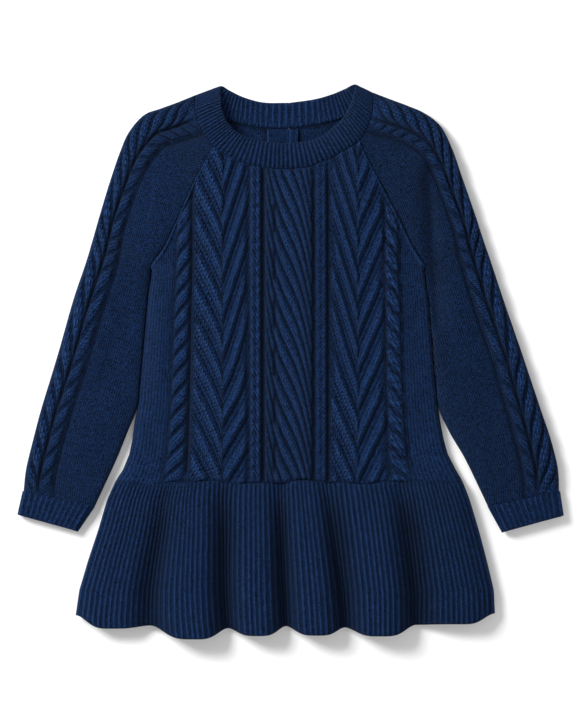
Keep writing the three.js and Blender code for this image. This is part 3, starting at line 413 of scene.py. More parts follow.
class Yarn:
    """One socket among a material's nodes. Sums on it add Math nodes."""

    def __init__(self, tree, socket=None):
        self.tree, self.socket = tree, socket

    def node(self, kind, settings, inputs, output=0):
        made = self.tree.nodes.new(kind)
        for name, value in settings.items():
            setattr(made, name, value)
        for key, value in inputs.items():
            if isinstance(value, Yarn):
                self.tree.links.new(value.socket, made.inputs[key])
            else:
                made.inputs[key].default_value = value
        return Yarn(self.tree, made.outputs[output])

    def math(self, operation, *values):
        return self.node("ShaderNodeMath", {"operation": operation}, dict(enumerate(values)))

    def __add__(self, other):
        return self.math("ADD", self, other)

    def __sub__(self, other):
        return self.math("SUBTRACT", self, other)

    def __rsub__(self, other):
        return self.math("SUBTRACT", other, self)

    def __mul__(self, other):
        return self.math("MULTIPLY", self, other)

    __radd__ = __add__
    __rmul__ = __mul__

    def blend(self, other, share):
        """From this number towards another, by a share."""
        return self + (other - self) * share

    def tint(self, first, second):
        """Colour from first to second, by this number."""
        settings = {"data_type": "RGBA", "clamp_factor": True}
        return self.node("ShaderNodeMix", settings, {0: self, 6: first, 7: second}, 2)


STITCH_LEGS = 2.2
COLUMN_ROUND = 2.4
FIBRE_SCALE, FLECK_SCALE = 1100, 420
ROW_STRETCH, ROW_SCALE = 0.3, 0.9
# How strongly stitches, flecks and fibres show in the wool's colour: the stitches as shade painted between
# their legs, the flecks and fibres as the yarn's own heather
STITCH_PAINTED_SHADE, FLECK_TONE, FIBRE_TONE, TONE_BASE = 1.25, 1.0, 3.0, 0.2


def stitches(yarn, place):
    """Height of knit columns, each with the two slanting legs of its stitches."""
    wale = yarn.node("ShaderNodeSeparateXYZ", {}, {0: place}, 0)
    course = yarn.node("ShaderNodeSeparateXYZ", {}, {0: place}, 1)
    from_middle = yarn.math("ABSOLUTE", yarn.math("FRACT", wale) - 0.5)
    legs = yarn.math("COSINE", (course - from_middle * STITCH_LEGS) * math.tau) * 0.5 + 0.5
    column = 1 - from_middle * from_middle * COLUMN_ROUND
    return column * (legs * 0.7 + 0.3)


def knitted_wool(name, dark, light, stitch_depth, row_tone):
    """Wool yarn in stitches that follow the piece's own knit and strand maps, with shade painted into its
    colour where the piece lies deep and highlight painted where it stands high.
    """
    material = bpy.data.materials.new(name)
    material.use_nodes = True
    tree = material.node_tree
    tree.nodes.clear()
    yarn = Yarn(tree)
    knit_map = yarn.node("ShaderNodeUVMap", {"uv_map": "knit"}, {})
    plain = stitches(yarn, knit_map)
    cabled = stitches(yarn, yarn.node("ShaderNodeUVMap", {"uv_map": "strand"}, {}))
    mask = yarn.node("ShaderNodeAttribute", {"attribute_name": "cable"}, {}, 2)
    depth = yarn.node("ShaderNodeAttribute", {"attribute_name": "depth"}, {}, 2)
    place = yarn.node("ShaderNodeTexCoord", {}, {}, 3)
    fibre = yarn.node("ShaderNodeTexNoise", {}, {"Vector": place, "Scale": FIBRE_SCALE, "Detail": 2.0})
    fleck = yarn.node("ShaderNodeTexNoise", {}, {"Vector": place, "Scale": FLECK_SCALE, "Detail": 3.0})
    row_place = yarn.node("ShaderNodeMapping", {}, {"Vector": knit_map, "Scale": (ROW_STRETCH, 1, 1)})
    rows = yarn.node("ShaderNodeTexNoise", {}, {"Vector": row_place, "Scale": ROW_SCALE, "Detail": 2.0})
    legs = plain.blend(cabled, mask)
    height = legs + fibre * 0.6 + rows * 0.7 * row_tone + fleck * 0.25
    heather = (fleck - 0.5) * FLECK_TONE + (fibre - 0.5) * FIBRE_TONE + (rows - 0.5) * row_tone
    # Shade painted between the legs of the stitches and at the sides of each column, on top of the yarn's own
    # heather.
    wool = legs * STITCH_PAINTED_SHADE + heather - TONE_BASE
    # Painted shade and highlight: the wool is darkened or lightened by the value that each piece carries for
    # it.
    shown = wool * (depth * 0.9 + 0.1)
    colour = shown.tint(dark, light)
    bump = yarn.node("ShaderNodeBump", {}, {"Strength": 1.0, "Distance": stitch_depth * MM, "Height": height})
    shader = yarn.node(
        "ShaderNodeBsdfPrincipled",
        {},
        {
            "Base Color": colour,
            "Roughness": 0.88,
            "Specular IOR Level": 0.05,
            "Sheen Weight": 0.05,
            "Sheen Roughness": 0.45,
            "Sheen Tint": (0.35, 0.55, 0.9, 1),
            "Normal": bump,
        },
    )
    output = tree.nodes.new("ShaderNodeOutputMaterial")
    tree.links.new(shader.socket, output.inputs["Surface"])
    return material


# The wool's colour runs from NAVY_DARK to NAVY_LIGHT, by the yarn's own heather and by the shade and
# highlight painted into it.
NAVY_DARK = (0.0001, 0.0018, 0.0085, 1)
NAVY_LIGHT = (0.0155, 0.053, 0.178, 1)
knit_wool = knitted_wool("navy_wool_knit", NAVY_DARK, NAVY_LIGHT, 1.8, 0.6)


def fit(piece, node, material):
    """Dresses a piece in its material, attaches it to the root body and hides the CAD node that it stands
    for.
    """
    piece.data.materials.append(material)
    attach(piece, ROOT)
    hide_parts(node)


FRONT_LEFT, FRONT_RIGHT = BODY_SIDES[0, 1], BODY_SIDES[0, 2]
WELT, WELT_AT, WELT_WIDTH = 2.0, 1.6, 1.1
RAGLAN_LEAN = 0.48
WAIST_GAP = 0.05
# Painted shade on the inner side of the cloth, and on the undersides of the cuffs and the middles of the
# placket bands.
INNER_PAINTED_SHADE = 0.6


def waist_wave(x):
    """How far the waist seam wanders up and down at x."""
    return (1.3 * np.sin(x / 15 + 0.6) + 0.7 * np.sin(x / 6.1)) * smooth(150 - np.abs(x), 0, 20)


def front_place(u, v):
    x = mix(FRONT_LEFT, FRONT_RIGHT, u)
    y = mix(WAIST_Y + WAIST_GAP + waist_wave(flare(x, WAIST_Y)), front_top(x), v)
    wide = flare(x, y)
    return np.column_stack([wide, y, front_height(wide, y)])


def front_surface(u, v, outer):
    x = mix(FRONT_LEFT, FRONT_RIGHT, u)
    top = front_top(x)
    y = mix(WAIST_Y + SEAM_GAP / 2, top, v)
    relief, groove, number, along, mask = cable_field(x, y, FRONT_CABLES)
    from_raglan = (top - y) * RAGLAN_LEAN
    raglan = (x < NECK_BAND[FRONT_FIRST, 0]) | (x > NECK_BAND[FRONT_LAST, 0])
    welt = np.where(raglan, np.exp(-(((from_raglan - WELT_AT) / WELT_WIDTH) ** 2)), 0)
    clear = np.where(raglan, smooth(from_raglan, 2.2, 3.6), smooth(top - y, 0, 2.5))
    clear = clear * smooth(y - WAIST_Y, 0.5, 3)
    raised = relief * clear * STRAND_HEIGHT + welt * WELT
    offset = np.where(outer, HALF + raised, -HALF)
    knit = np.column_stack([x / WALE, y / COURSE])
    strand = np.column_stack([number, along / STRAND_COURSE])
    # Painted highlight on the tops of the cable strands and on the welt, painted shade on the plain knit, in
    # the grooves and along the raglan seam.
    depth = np.where(mask > 0.5, mix(0.45, 1.3, np.clip(relief, 0, 1)), 0.78) * (1 - 0.95 * groove * clear)
    seam = np.where(raglan, np.exp(-(((from_raglan - 0.2) / 0.8) ** 2)), 0)
    depth = np.clip(depth + 0.6 * welt - 0.6 * seam, 0, 1.35)
    return Knitting(offset, knit, strand, mask, np.where(outer, depth, INNER_PAINTED_SHADE))


front_knit = cloth_piece("front_knit", 200, 244, front_place, front_surface)
fit(front_knit, "front_body", knit_wool)

# Back of the body
# The same yarn in plain knit, one panel with a slit from the neck down for the head. It lies flat, and its
# sides curl up to meet the front.
BACK_ROUND = 7
BACK_MID = HALF
BACK_WIDTH, BACK_LENGTH = 300, 318
SLIT_X, SLIT_FROM = -1.0, 100
SLIT = ((FRONT_RIGHT - SLIT_X) / (FRONT_RIGHT - FRONT_LEFT), (SLIT_FROM - WAIST_Y) / BACK_LENGTH)
NECK_LAP = 0.8
# Painted shade over the plain knit of the back.
PLAIN_PAINTED_SHADE = 0.75
PLACKET_EDGES = (-22.4, 8.2)


def back_top(x):
    ring = curve(NECK_BAND[:, SEAM], np.linspace(0, 1, 800))
    back = ring[(ring[:, 2] < 2) & (np.abs(ring[:, 0]) < 70)]
    back = back[np.argsort(back[:, 0])]
    seam = raglan_y(x + np.sign(x) * RAGLAN_GAP, BACK) - SEAM_GAP - armpit_ease(x, BACK_ROUND)
    between = (x > LEFT_SLEEVE[0, 4]) & (x < RIGHT_SLEEVE[0, 4])
    return np.where(between, np.interp(x, back[:, 0], back[:, 1]) + NECK_LAP, seam)


def back_place(u, v):
    x = mix(FRONT_RIGHT, FRONT_LEFT, u)
    y = mix(WAIST_Y + SEAM_GAP / 2, back_top(x), v)
    wide = flare(x, y)
    in_from = side_fold(wide, y) - np.abs(wide)
    fade = np.clip((y - ARMPIT_Y) / 25, 0, 1)
    rise = (1 - fade) * (FOLD_HEIGHT - FOLD_GAP - BACK_MID)
    return np.column_stack([wide, y, BACK_MID + rise * (1 - roll(in_from, BACK_ROUND))])


def back_surface(u, v, outer):
    """Plain knit on both sides, with shade painted inside beneath the neck seam and beside the placket bands.
    """
    x = mix(FRONT_RIGHT, FRONT_LEFT, u)
    y = back_place(u, v)[:, 1]
    knit = np.column_stack([u * BACK_WIDTH / WALE, v * BACK_LENGTH / COURSE])
    under_seam = np.exp(-(((back_top(x) - y - 1.5) / 2.2) ** 2))
    beside = sum(np.exp(-(((x - edge) / 1.4) ** 2)) for edge in PLACKET_EDGES)
    shade = 1 - 0.8 * np.clip(under_seam + beside * smooth(y, SLIT_FROM - 2, SLIT_FROM + 2), 0, 1)
    return Knitting(np.where(outer, HALF, -HALF), knit, depth=PLAIN_PAINTED_SHADE * np.where(outer, 1, shade))


back_knit = cloth_piece("back_knit", 160, 130, back_place, back_surface, slit=SLIT)

# Placket bands
# Two narrow bands of the same wool, sewn to the inner side of the back, one to each side of its slit. Their
# edges are turned in, so they stand a little proud of the panel.
PLACKET_TO, PLACKET_RISE, PLACKET_LENGTH = 209.2, 2.2, 110
PLACKETS = {"placket_left": (-21.2, -1.05), "placket_right": (-0.95, 7)}
rib_wool = knitted_wool("navy_wool_rib", NAVY_DARK, NAVY_LIGHT, 1.2, 0.2)


def make_placket(name, from_x, to_x):
    width = to_x - from_x

    def middle(u, v):
        z = CLOTH + FOLD_GAP + PLACKET_RISE / 2
        return np.column_stack([from_x + u * width, mix(SLIT_FROM, PLACKET_TO, v), np.full(len(u), z)])

    def surface(u, v, outer):
        edge = np.minimum(u, 1 - u) * width
        half = PLACKET_RISE / 2 * mix(0.45, 1, roll(edge, 1.4))
        knit = np.column_stack([u * width / WALE, v * PLACKET_LENGTH / COURSE])
        # Painted highlight on the turned-in edges and painted shade over the middle of each band.
        depth = mix(1.1, INNER_PAINTED_SHADE, smooth(edge, 1, 3))
        return Knitting(np.where(outer, half, -half), knit, depth=depth)

    piece = cloth_piece(name + "_knit", max(8, int(width * 1.2)), 60, middle, surface)
    piece.data.materials.append(rib_wool)
    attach(piece, ROOT)
    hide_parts(name)
    return piece


placket_bands = [make_placket(name, *sides) for name, sides in PLACKETS.items()]
fit(back_knit, "back_body", knit_wool)

# Sleeves
# Raglan sleeves in the same yarn, each one sheet folded lengthwise and sewn along the underarm. A braid runs
# beside the outer fold, with a rope of round loops next to it, from the neck band to the cuff.
SLEEVE_TOP = 10.2
SLEEVE_LENGTH = 385
CUFF_DROP = 2.2
NECK_EASE, NECK_EASE_IN = 1.0, 0.4
NECK_CENTRE = np.array([-5, 222, 0])
FRONT_SHARE = 0.72
FOLD_ROUND, CUFF_ROUND = 12, 5
SLEEVE_SWELL = 3.2
SLEEVE_STRAND, SLEEVE_TROUGH, SLEEVE_GROOVE = 3, 1.4, 0.8
# Half width of the rope on the sleeve that lies to the right, 1, and to the left, -1, of its outer fold
ROPE_HALVES = {1: 5.6, -1: 4.9}
ROPE_PITCH, BRAID_PITCH, MARKS_TO = 18.5, 20.5, 420
SLEEVE_ROPE_SLOPES = (1.3, 1.3, 1.3, 1.3)
SLEEVE_BRAID_SLOPES = (-1.5, -1.5, -1.5, -1.5)

# Each sleeve's rope: place along, distance of its middle from the outer fold
LEFT_ROPE_WAY = np.array([(0, 27), (0.22, 26.5), (0.42, 21.5), (0.7, 20.5), (1, 19)])
RIGHT_ROPE_WAY = np.array([(0, 27), (0.22, 25.5), (0.42, 19.5), (0.7, 20.5), (0.88, 25), (1, 25.5)])
# Folds across the sleeves: from x y to x y, width, height
LEFT_SLEEVE_FOLDS = [
    (-132, 180, -136, 96, 6, 1.8), (-150, 70, -160, -20, 12, -1.6), (-176, -40, -196, -108, 12, 1.2),
    (-150, 20, -168, -60, 10, 0.9),
]
RIGHT_SLEEVE_FOLDS = [
    (124, 176, 131, 30, 7, -4.6), (146, 120, 152, 20, 10, 1.6), (168, 60, 186, -40, 12, -1.4),
    (188, -30, 206, -104, 12, 1.0),
]
# Painted highlight along a ridge, share above 0, and painted shade deep in a valley, share below 0: from x y
# to x y, width, share
LEFT_SLEEVE_PAINTED_LIGHT = [(-124, 176, -131, 84, 5, 0.3), (-150, 60, -172, -20, 14, -0.2)]
RIGHT_SLEEVE_PAINTED_LIGHT = [(121, 172, 133, -20, 9, -0.42), (150, 40, 190, -100, 26, -0.1)]


def make_sleeve(name, table, side, rope_way, folds, painted_light):
    rows = len(table) - 1
    armpit = RAGLAN_ROWS / rows
    stations = (FRONT_FIRST, 4, 3) if side > 0 else (FRONT_LAST, 19, 20)

    def across_of(u):
        return np.where(u < FRONT_SHARE, u / FRONT_SHARE / 2, 0.5 + (u - FRONT_SHARE) / (1 - FRONT_SHARE) / 2)

    def neck_end(across):
        first = np.where(across < 0.5, stations[0], stations[1])
        last = np.where(across < 0.5, stations[1], stations[2])
        place = mix(first, last, (across * 2) % 1.0000001) / NECK_SPANS
        at = curve(NECK_BAND[:, SEAM], place)
        tangent = curve(NECK_BAND[:, SEAM], place + 1e-3) - curve(NECK_BAND[:, SEAM], place - 1e-3)
        away = np.column_stack([tangent[:, 1], -tangent[:, 0], np.zeros(len(at))])
        away /= np.linalg.norm(away, axis=1)[:, None]
        away *= np.sign(np.sum(away * (at - NECK_CENTRE), axis=1))[:, None]
        from_fold = np.abs(2 * across - 1)
        low = mix(at[:, 2], BACK_MID, np.minimum(1, from_fold * 5))
        at[:, 2] = np.where(across > 0.5, low, at[:, 2])
        away = mix(away, np.array([-0.93 * side, -0.37, 0]), ((1 - from_fold) ** 2)[:, None])
        away /= np.linalg.norm(away, axis=1)[:, None]
        return at + away * mix(NECK_EASE, NECK_EASE_IN, from_fold)[:, None]

    def laid(across, along):
        is_front = across < 0.5
        from_fold = np.abs(2 * across - 1)
        out = curve(table[:, OUT], along)
        edge = np.where(is_front[:, None], curve(table[:, FRONT], along), curve(table[:, BACK], along))
        width = np.linalg.norm(out - edge, axis=1)
        at = mix(out, edge, from_fold[:, None])
        end = smooth(along, 0.86, 1)
        radius = mix(FOLD_ROUND, CUFF_ROUND, end)
        out_roll = roll(from_fold * width, radius)
        below = np.minimum(along / armpit, 1)
        top = mix(BODY_TOP, SLEEVE_TOP, below) - CUFF_DROP * end
        reach = crease_depth(mix(192, ARMPIT_Y, below), np.full(len(at), side < 0)) / (BODY_TOP - FOLD_HEIGHT)
        inner_roll = roll((1 - from_fold) * width, radius)
        front = FOLD_HEIGHT + FOLD_GAP / 2 + (top - FOLD_HEIGHT) * (out_roll - reach * (1 - inner_roll))
        swell = SLEEVE_SWELL * np.sin(np.pi * from_fold) * smooth(along, 0.05, 0.3)
        swell = swell * smooth(1 - along, 0.02, 0.2)
        front = front + swell + soft_folds(at[:, 0], at[:, 1], folds) * out_roll * inner_roll
        fade = np.clip((below - 0.85) / 0.15, 0, 1)
        rise = FOLD_HEIGHT - FOLD_GAP / 2 - BACK_MID
        under = BACK_MID + rise * (1 - out_roll)
        under = under + rise * fade * (1 - roll((1 - from_fold) * width, BACK_ROUND))
        at[:, 2] = np.where(is_front, front, under)
        return at

    def middle(u, v):
        across, along = across_of(u), 1 - v if side < 0 else v
        at = laid(across, along)
        hold = np.maximum(0, 1 - along * 7) ** 2
        shift = neck_end(across) - laid(across, np.zeros_like(along))
        return at + shift * hold[:, None]

    def surface(u, v, outer):
        across, along = across_of(u), 1 - v if side < 0 else v
        is_front = across < 0.5
        width = np.linalg.norm(curve(table[:, OUT], along) - curve(table[:, FRONT], along), axis=1)
        d = np.abs(1 - across * 2) * width
        s = along * SLEEVE_LENGTH
        rope_at = np.interp(along, rope_way[:, 0], rope_way[:, 1])
        rope_half = ROPE_HALVES[side]
        rope_dx = d - rope_at
        braid_half = (rope_at - rope_half - 2) / 2
        braid_dx = d - 1.5 - braid_half
        rope_marks = -np.arange(0, MARKS_TO, ROPE_PITCH)
        braid_marks = -np.arange(0, MARKS_TO, BRAID_PITCH)
        rope, rope_g, rope_n, rope_s = cable_strands(
            "rope", rope_dx, -s, rope_half, SLEEVE_ROPE_SLOPES, (rope_marks, rope_marks)
        )
        braid, braid_g, braid_n, braid_s = cable_strands(
            "braid", braid_dx, -s, braid_half, SLEEVE_BRAID_SLOPES, (braid_marks, braid_marks)
        )
        on_rope = (np.abs(rope_dx) < rope_half) & is_front
        on_braid = (np.abs(braid_dx) < braid_half) & is_front
        relief = np.where(on_rope, rope, np.where(on_braid, braid, 0))
        groove = np.where(on_rope, rope_g, np.where(on_braid, braid_g, 0))
        between = np.exp(-(((rope_dx + rope_half + 0.8) / 1.2) ** 2)) * is_front
        trough = np.exp(-(((rope_dx - rope_half - 2.2) / 1.8) ** 2)) * is_front
        fade = np.minimum(1, np.minimum(along * 14, (1 - along) * 20))
        raised = (relief * SLEEVE_STRAND - trough * SLEEVE_TROUGH - between * SLEEVE_GROOVE) * fade
        knit = np.column_stack([side * np.where(is_front, d, -d) / WALE, s / COURSE])
        number = np.where(on_rope, rope_n, braid_n) * WALES_IN_STRAND + 0.5
        strand = np.column_stack([number, np.where(on_rope, rope_s, braid_s) / STRAND_COURSE])
        mask = (on_rope | on_braid).astype(float)
        # Painted shade in the low parts of the strands, in the trough beside the rope and in the grooves.
        depth = np.where(mask > 0.5, mix(0.5, 1, np.clip(relief, 0, 1)), 0.72 - 0.5 * trough)
        depth = depth * (1 - 0.9 * np.maximum(groove, between) * fade)
        # Painted highlight along ridges and painted shade in valleys of the sleeve's folds.
        at = laid(across, along)
        depth = depth * (1 + soft_folds(at[:, 0], at[:, 1], painted_light))
        offset = np.where(outer, HALF + raised, -HALF)
        return Knitting(offset, knit, strand, mask, np.where(outer, depth, INNER_PAINTED_SHADE))

    piece = cloth_piece(name + "_knit", 112, 250, middle, surface)
    fit(piece, name, knit_wool)


make_sleeve("left_sleeve", LEFT_SLEEVE, 1, LEFT_ROPE_WAY, LEFT_SLEEVE_FOLDS, LEFT_SLEEVE_PAINTED_LIGHT)
make_sleeve("right_sleeve", RIGHT_SLEEVE, -1, RIGHT_ROPE_WAY, RIGHT_SLEEVE_FOLDS, RIGHT_SLEEVE_PAINTED_LIGHT)

# Neck band
# One strip of one-by-one rib, picked up round the neck and split at the back. In front its outer side shows,
# and at the back its inner side, with the chained seam that joins it to the back panel.
NECK_RIBS = 96
NECK_RELIEF = 1.2
NECK_DEPTH = 22
NECK_SWELL = 1.8
CHAIN_AT, CHAIN_WIDTH, CHAIN_RISE = 0.09, 0.07, 2.2
CHAIN_PITCH = 1.4
RIB_POWER = 0.45


def neck_place(u, v):
    at = mix(curve(NECK_BAND[:, SEAM], u), curve(NECK_BAND[:, FREE], u), v[:, None])
    place = u * NECK_SPANS
    in_front = smooth(place, 4, 7) * smooth(NECK_SPANS - place, 4, 7)
    at[:, 2] += NECK_SWELL * in_front * np.sin(np.pi * v)
    return at


def rib_crest(turn):
    """Section of a one-by-one rib: 1 on the knit column and 0 in the groove."""
    return (0.5 - 0.5 * np.cos(2 * np.pi * turn)) ** RIB_POWER


def neck_surface(u, v, outer):
    in_front = (u * NECK_SPANS > 5) & (u * NECK_SPANS < 18)
    crest = rib_crest(u * NECK_RIBS)
    body = smooth(v, 0, 0.1)
    shows = np.where(outer, in_front, ~in_front)
    chain = np.where(~in_front & ~outer, np.exp(-(((v - CHAIN_AT) / CHAIN_WIDTH) ** 2)), 0)
    links = 0.65 + 0.35 * np.cos(2 * np.pi * u * NECK_RIBS * CHAIN_PITCH)
    raised = np.where(shows, crest * NECK_RELIEF * body, 0) * (1 - chain) + chain * links * CHAIN_RISE
    rounded_end = mix(1, 0.35, smooth(v, 0.93, 1))
    offset = (HALF + raised) * rounded_end * np.where(outer, 1, -1)
    knit = np.column_stack([u * NECK_RIBS * 2 + 0.5, v * NECK_DEPTH / COURSE])
    # Painted shade in the grooves of the rib, on the inner side and between the links of the chained seam,
    # painted highlight on the links.
    depth = np.where(shows, mix(0.05, 1, crest), INNER_PAINTED_SHADE) * (1 - chain) + chain * links * 1.2
    return Knitting(offset, knit, depth=depth)


neck_knit = cloth_piece("neck_band_knit", NECK_RIBS * 8, 18, neck_place, neck_surface)
fit(neck_knit, "neck_band", rib_wool)

# Peplum
# Two ribbed panels of the same wool below the waist seam. The front one spreads into flutes and waves along
# its hem, and the back one lies flat under it.
PEPLUM_RIBS = 84
RIB_RELIEF = 1.4
# Sides of the peplum: height, left, right
PEPLUM_SIDES = np.array([
    (-230, 192.6, 183.2), (-206, 189.1, 182.0), (-179, 181.1, 175.6), (-152, 172.1, 168.5),
    (-125, 164.1, 160.4), (-108.4, 156.8, 153.9),
])
# Ridges and valleys of the flutes: x at the waist, x at the hem, z at the waist, z at the hem, y of the hem
FLUTES = np.array([
    (-156.8, -192.6, 11.2, 11.5, -228.5), (-134, -161, 11.6, 16, -239.5), (-110, -126, 10.6, 6.4, -237.6),
    (-86, -86, 12.8, 23, -248.4), (-58, -56, 9.8, 4.4, -240.2), (-31, -29, 12.8, 21, -245.6),
    (-9, -4, 8.6, 4.2, -238.4), (12, 24, 12.8, 21.5, -245.2), (33, 49, 9.4, 4.2, -239.6),
    (68, 81, 12.8, 22.5, -245.8), (100, 113, 9.6, 5, -237.2), (130, 152, 11.6, 16, -235.6),
    (153.9, 183.2, 11.2, 11.5, -226.8),
])
PEPLUM_LEFT, PEPLUM_RIGHT = FLUTES[0, 0], FLUTES[-1, 0]
VALLEY_SHARPNESS = 2.2
VALLEY_SHADE, RIDGE_LIGHT, FAR_SHADE = 0.85, 0.25, 0.8
HEM_SHARE = 0.7


def along_flutes(column, x):
    i = np.clip(np.searchsorted(FLUTES[:, 0], x) - 1, 0, len(FLUTES) - 2)
    t = np.clip((x - FLUTES[i, 0]) / (FLUTES[i + 1, 0] - FLUTES[i, 0]), 0, 1)
    if column > 1:
        t = (1 - np.cos(np.pi * t)) / 2
        rising = FLUTES[i + 1, 3] > FLUTES[i, 3]
        t = np.where(rising, 1 - (1 - t) ** VALLEY_SHARPNESS, t**VALLEY_SHARPNESS)
    return mix(FLUTES[i, column], FLUTES[i + 1, column], t)


def peplum_edge(x, y):
    left = np.interp(y, PEPLUM_SIDES[:, 0], PEPLUM_SIDES[:, 1])
    return np.where(x < 0, left, np.interp(y, PEPLUM_SIDES[:, 0], PEPLUM_SIDES[:, 2]))


def peplum_place(u, v):
    along = 1 - v
    x0 = mix(PEPLUM_LEFT, PEPLUM_RIGHT, u)
    straight = mix(x0, along_flutes(1, x0), along)
    y = mix(WAIST_Y - WAIST_GAP + waist_wave(x0), along_flutes(4, x0), along)
    side = np.where(x0 < 0, PEPLUM_LEFT, PEPLUM_RIGHT)
    rim = mix(np.abs(side), np.abs(along_flutes(1, side)), along)
    x = straight * peplum_edge(x0, y) / rim
    top = mix(along_flutes(2, x0), along_flutes(3, x0), np.sin(along * np.pi / 2))
    in_from = np.minimum(u, 1 - u) * (PEPLUM_RIGHT - PEPLUM_LEFT) * mix(1, 1.2, along)
    z = FOLD_HEIGHT + 2 * FOLD_GAP + (top - FOLD_HEIGHT) * roll(in_from, SIDE_ROUND)
    return np.column_stack([x, y, z])


def rib_spread(u):
    """Runs from 0 to 1 across the peplum, so that the ribs stand evenly along its hem."""
    x = mix(PEPLUM_LEFT, PEPLUM_RIGHT, u)
    spread = mix(x, along_flutes(1, x), HEM_SHARE)
    return (spread - spread.min()) / (spread.max() - spread.min())


def valley_shade(u, v):
    """Painted shade for the flutes: from 1 on their ridges, with a painted highlight near the hem, to a low
    value deep in their valleys, and darker towards the right end.
    """
    x = mix(PEPLUM_LEFT, PEPLUM_RIGHT, u)
    i = np.clip(np.searchsorted(FLUTES[:, 0], x) - 1, 0, len(FLUTES) - 2)
    t = (x - FLUTES[i, 0]) / (FLUTES[i + 1, 0] - FLUTES[i, 0])
    ridge = np.where(FLUTES[i + 1, 3] > FLUTES[i, 3], t, 1 - t)
    low = np.where(FLUTES[i + 1, 3] > FLUTES[i, 3], FLUTES[i, 3], FLUTES[i + 1, 3])
    deep = smooth(10 - low, 0, 5) * smooth(1 - v, -0.1, 0.35)
    valley = VALLEY_SHADE * deep * (1 - smooth(ridge, 0.08, 0.75))
    lit = RIDGE_LIGHT * smooth(ridge, 0.7, 1) * (1 - v)
    return (1 - valley + lit) * mix(1, FAR_SHADE, smooth(x, 95, 135))


def ribbed_surface(length, relief, shade=None):
    """One-by-one rib that shows on the outer side."""

    def surface(u, v, outer):
        turn = rib_spread(u) * PEPLUM_RIBS
        crest = rib_crest(turn)
        ends = smooth(v, 0, 0.02) * smooth(1 - v, 0, 0.03)
        offset = np.where(outer, HALF + crest * relief * ends, -HALF)
        knit = np.column_stack([turn * 2 + 0.5, v * length / COURSE])
        # Painted shade in the grooves of the rib and on the inner side, and where given the flutes' painted
        # shade and highlight.
        depth = np.where(outer, crest, INNER_PAINTED_SHADE)
        if shade:
            depth = depth * shade(u, v)
        return Knitting(offset, knit, depth=depth)

    return surface


front_ribs = ribbed_surface(134, RIB_RELIEF, valley_shade)
peplum_front_knit = cloth_piece("peplum_front_knit", PEPLUM_RIBS * 7, 56, peplum_place, front_ribs)
fit(peplum_front_knit, "peplum_front", rib_wool)

BACK_HEM_Y, BACK_HEM_RISE = -234, 12


def peplum_back_place(u, v):
    along = 1 - v
    across = 1 - u
    y = mix(WAIST_Y - SEAM_GAP / 2, BACK_HEM_Y + BACK_HEM_RISE * np.abs(2 * across - 1), along)
    side = mix(PEPLUM_LEFT, PEPLUM_RIGHT, across)
    edge = peplum_edge(side, y)
    x = side / np.where(side < 0, -PEPLUM_LEFT, PEPLUM_RIGHT) * edge
    rise = FOLD_HEIGHT - 2 * FOLD_GAP - BACK_MID
    return np.column_stack([x, y, BACK_MID + rise * (1 - roll(edge - np.abs(x), BACK_ROUND))])


back_ribs = ribbed_surface(126, 0.0)
peplum_back_knit = cloth_piece("peplum_back_knit", PEPLUM_RIBS * 4, 30, peplum_back_place, back_ribs)
fit(peplum_back_knit, "peplum_back", rib_wool)

# Cuffs
# Short rings of one-by-one rib at the ends of the sleeves, lying flat.
CUFF_RIBS = 26
CUFF_RADIUS = 3.8
CUFF_RELIEF, CUFF_DEPTH = 0.9, 21
# Corners of each cuff: outer seam, inner seam, outer hem, inner hem
CUFFS = {
    "left_cuff": ((-239.8, -117.1), (-177.6, -129.9), (-244.2, -138.2), (-193.2, -152.2)),
    "right_cuff": ((241.3, -117.1), (179, -129.9), (244.3, -139), (192.2, -153.2)),
}


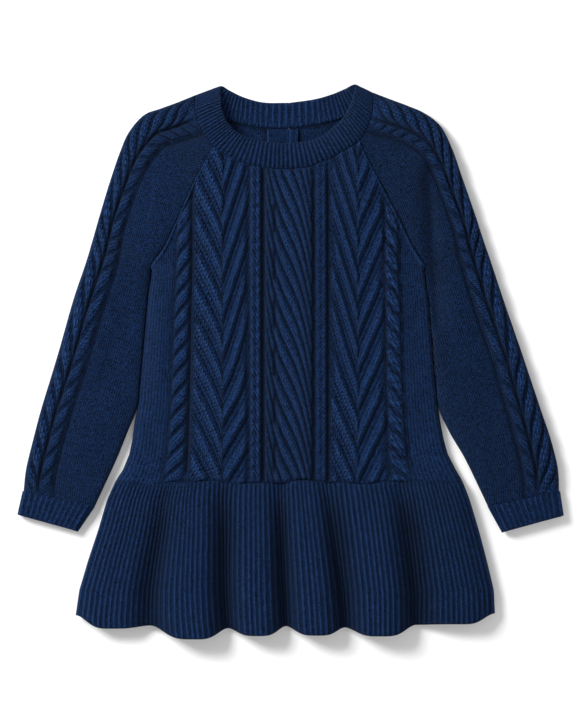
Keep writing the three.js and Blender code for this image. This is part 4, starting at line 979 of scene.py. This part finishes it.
def make_cuff(name, seam_out, seam_in, hem_out, hem_in):
    side = 1 if seam_out[0] > 0 else -1
    corners = [np.array([*corner, 0.0]) for corner in (seam_out, seam_in, hem_out, hem_in)]

    def middle(u, v):
        start = mix(corners[0], corners[2], v[:, None])
        end = mix(corners[1], corners[3], v[:, None])
        width = np.linalg.norm(end - start, axis=1)
        flat, bend = width - 2 * CUFF_RADIUS, math.pi * CUFF_RADIUS
        place = (u % 1) * 2 * (flat + bend)
        turn = np.clip((place - flat) / CUFF_RADIUS, 0, math.pi)
        back = np.clip((place - 2 * flat - bend) / CUFF_RADIUS, 0, math.pi)
        run = np.clip(place, 0, flat) - np.clip(place - flat - bend, 0, flat)
        across = CUFF_RADIUS + run + CUFF_RADIUS * (np.sin(turn) - np.sin(back))
        at = start + (end - start) * (across / width)[:, None]
        low = place > flat + bend
        at[:, 2] = np.where(
            low,
            CUFF_RADIUS + HALF - CUFF_RADIUS * np.cos(back),
            CUFF_RADIUS + HALF + CUFF_RADIUS * np.cos(turn),
        )
        return at

    def surface(u, v, outer):
        crest = rib_crest(u * CUFF_RIBS)
        shows = outer & (middle(u, v)[:, 2] > CUFF_RADIUS)
        offset = np.where(outer, HALF + np.where(shows, crest * CUFF_RELIEF, 0), -HALF)
        knit = np.column_stack([u * CUFF_RIBS * 2 + 0.5, v * CUFF_DEPTH / COURSE])
        # Painted shade in the grooves of the rib and on the underside of the cuff.
        return Knitting(offset, knit, depth=np.where(shows, mix(0.15, 1, crest), INNER_PAINTED_SHADE))

    piece = cloth_piece(name + "_knit", CUFF_RIBS * 8, 14, middle, surface, side=side, ring=True)
    fit(piece, name, rib_wool)


for cuff_name, cuff_corners in CUFFS.items():
    make_cuff(cuff_name, *cuff_corners)

# Floor, light and camera
# A plain white floor, a soft key light from the upper left with a wide fill light, and a camera that looks
# straight down.
floor_mesh = bpy.data.meshes.new("floor")
floor_bm = bmesh.new()
bmesh.ops.create_grid(floor_bm, x_segments=1, y_segments=1, size=3)
floor_bm.to_mesh(floor_mesh)
floor_bm.free()
floor = bpy.data.objects.new("floor", floor_mesh)
bpy.context.scene.collection.objects.link(floor)
paper = bpy.data.materials.new("white_paper")
paper.use_nodes = True
paper_inputs = paper.node_tree.nodes["Principled BSDF"].inputs
paper_inputs["Base Color"].default_value = (0.93, 0.93, 0.93, 1)
paper_inputs["Roughness"].default_value = 1
paper_inputs["Specular IOR Level"].default_value = 0
floor_mesh.materials.append(paper)

LIGHTS = {"key": ((-1.35, 0.95, 1.4), 0.8, 60), "fill": ((0.6, -0.7, 2.2), 2.4, 12)}
for light_name, (where, size, power) in LIGHTS.items():
    lamp = bpy.data.lights.new(light_name, "AREA")
    lamp.size = size
    lamp.energy = power
    light = bpy.data.objects.new(light_name, lamp)
    light.location = where
    light.rotation_euler = (-light.location).to_track_quat("-Z", "Y").to_euler()
    bpy.context.scene.collection.objects.link(light)

world = bpy.data.worlds.new("studio")
world.use_nodes = True
sky = world.node_tree.nodes["Background"].inputs
sky["Color"].default_value = (1, 1, 1, 1)
sky["Strength"].default_value = 0.46
bpy.context.scene.world = world
bpy.context.scene.view_settings.view_transform = "Standard"

CAMERA_HEIGHT, CLOTH_HEIGHT, VIEW_LENGTH, SENSOR = 2.4, 0.008, 0.648, 36
camera = bpy.data.objects.new("camera", bpy.data.cameras.new("camera"))
camera.location = (0.0009, 0.00135, CAMERA_HEIGHT)
camera.data.sensor_width = SENSOR
camera.data.lens = SENSOR * (CAMERA_HEIGHT - CLOTH_HEIGHT) / VIEW_LENGTH
bpy.context.scene.collection.objects.link(camera)
bpy.context.scene.camera = camera
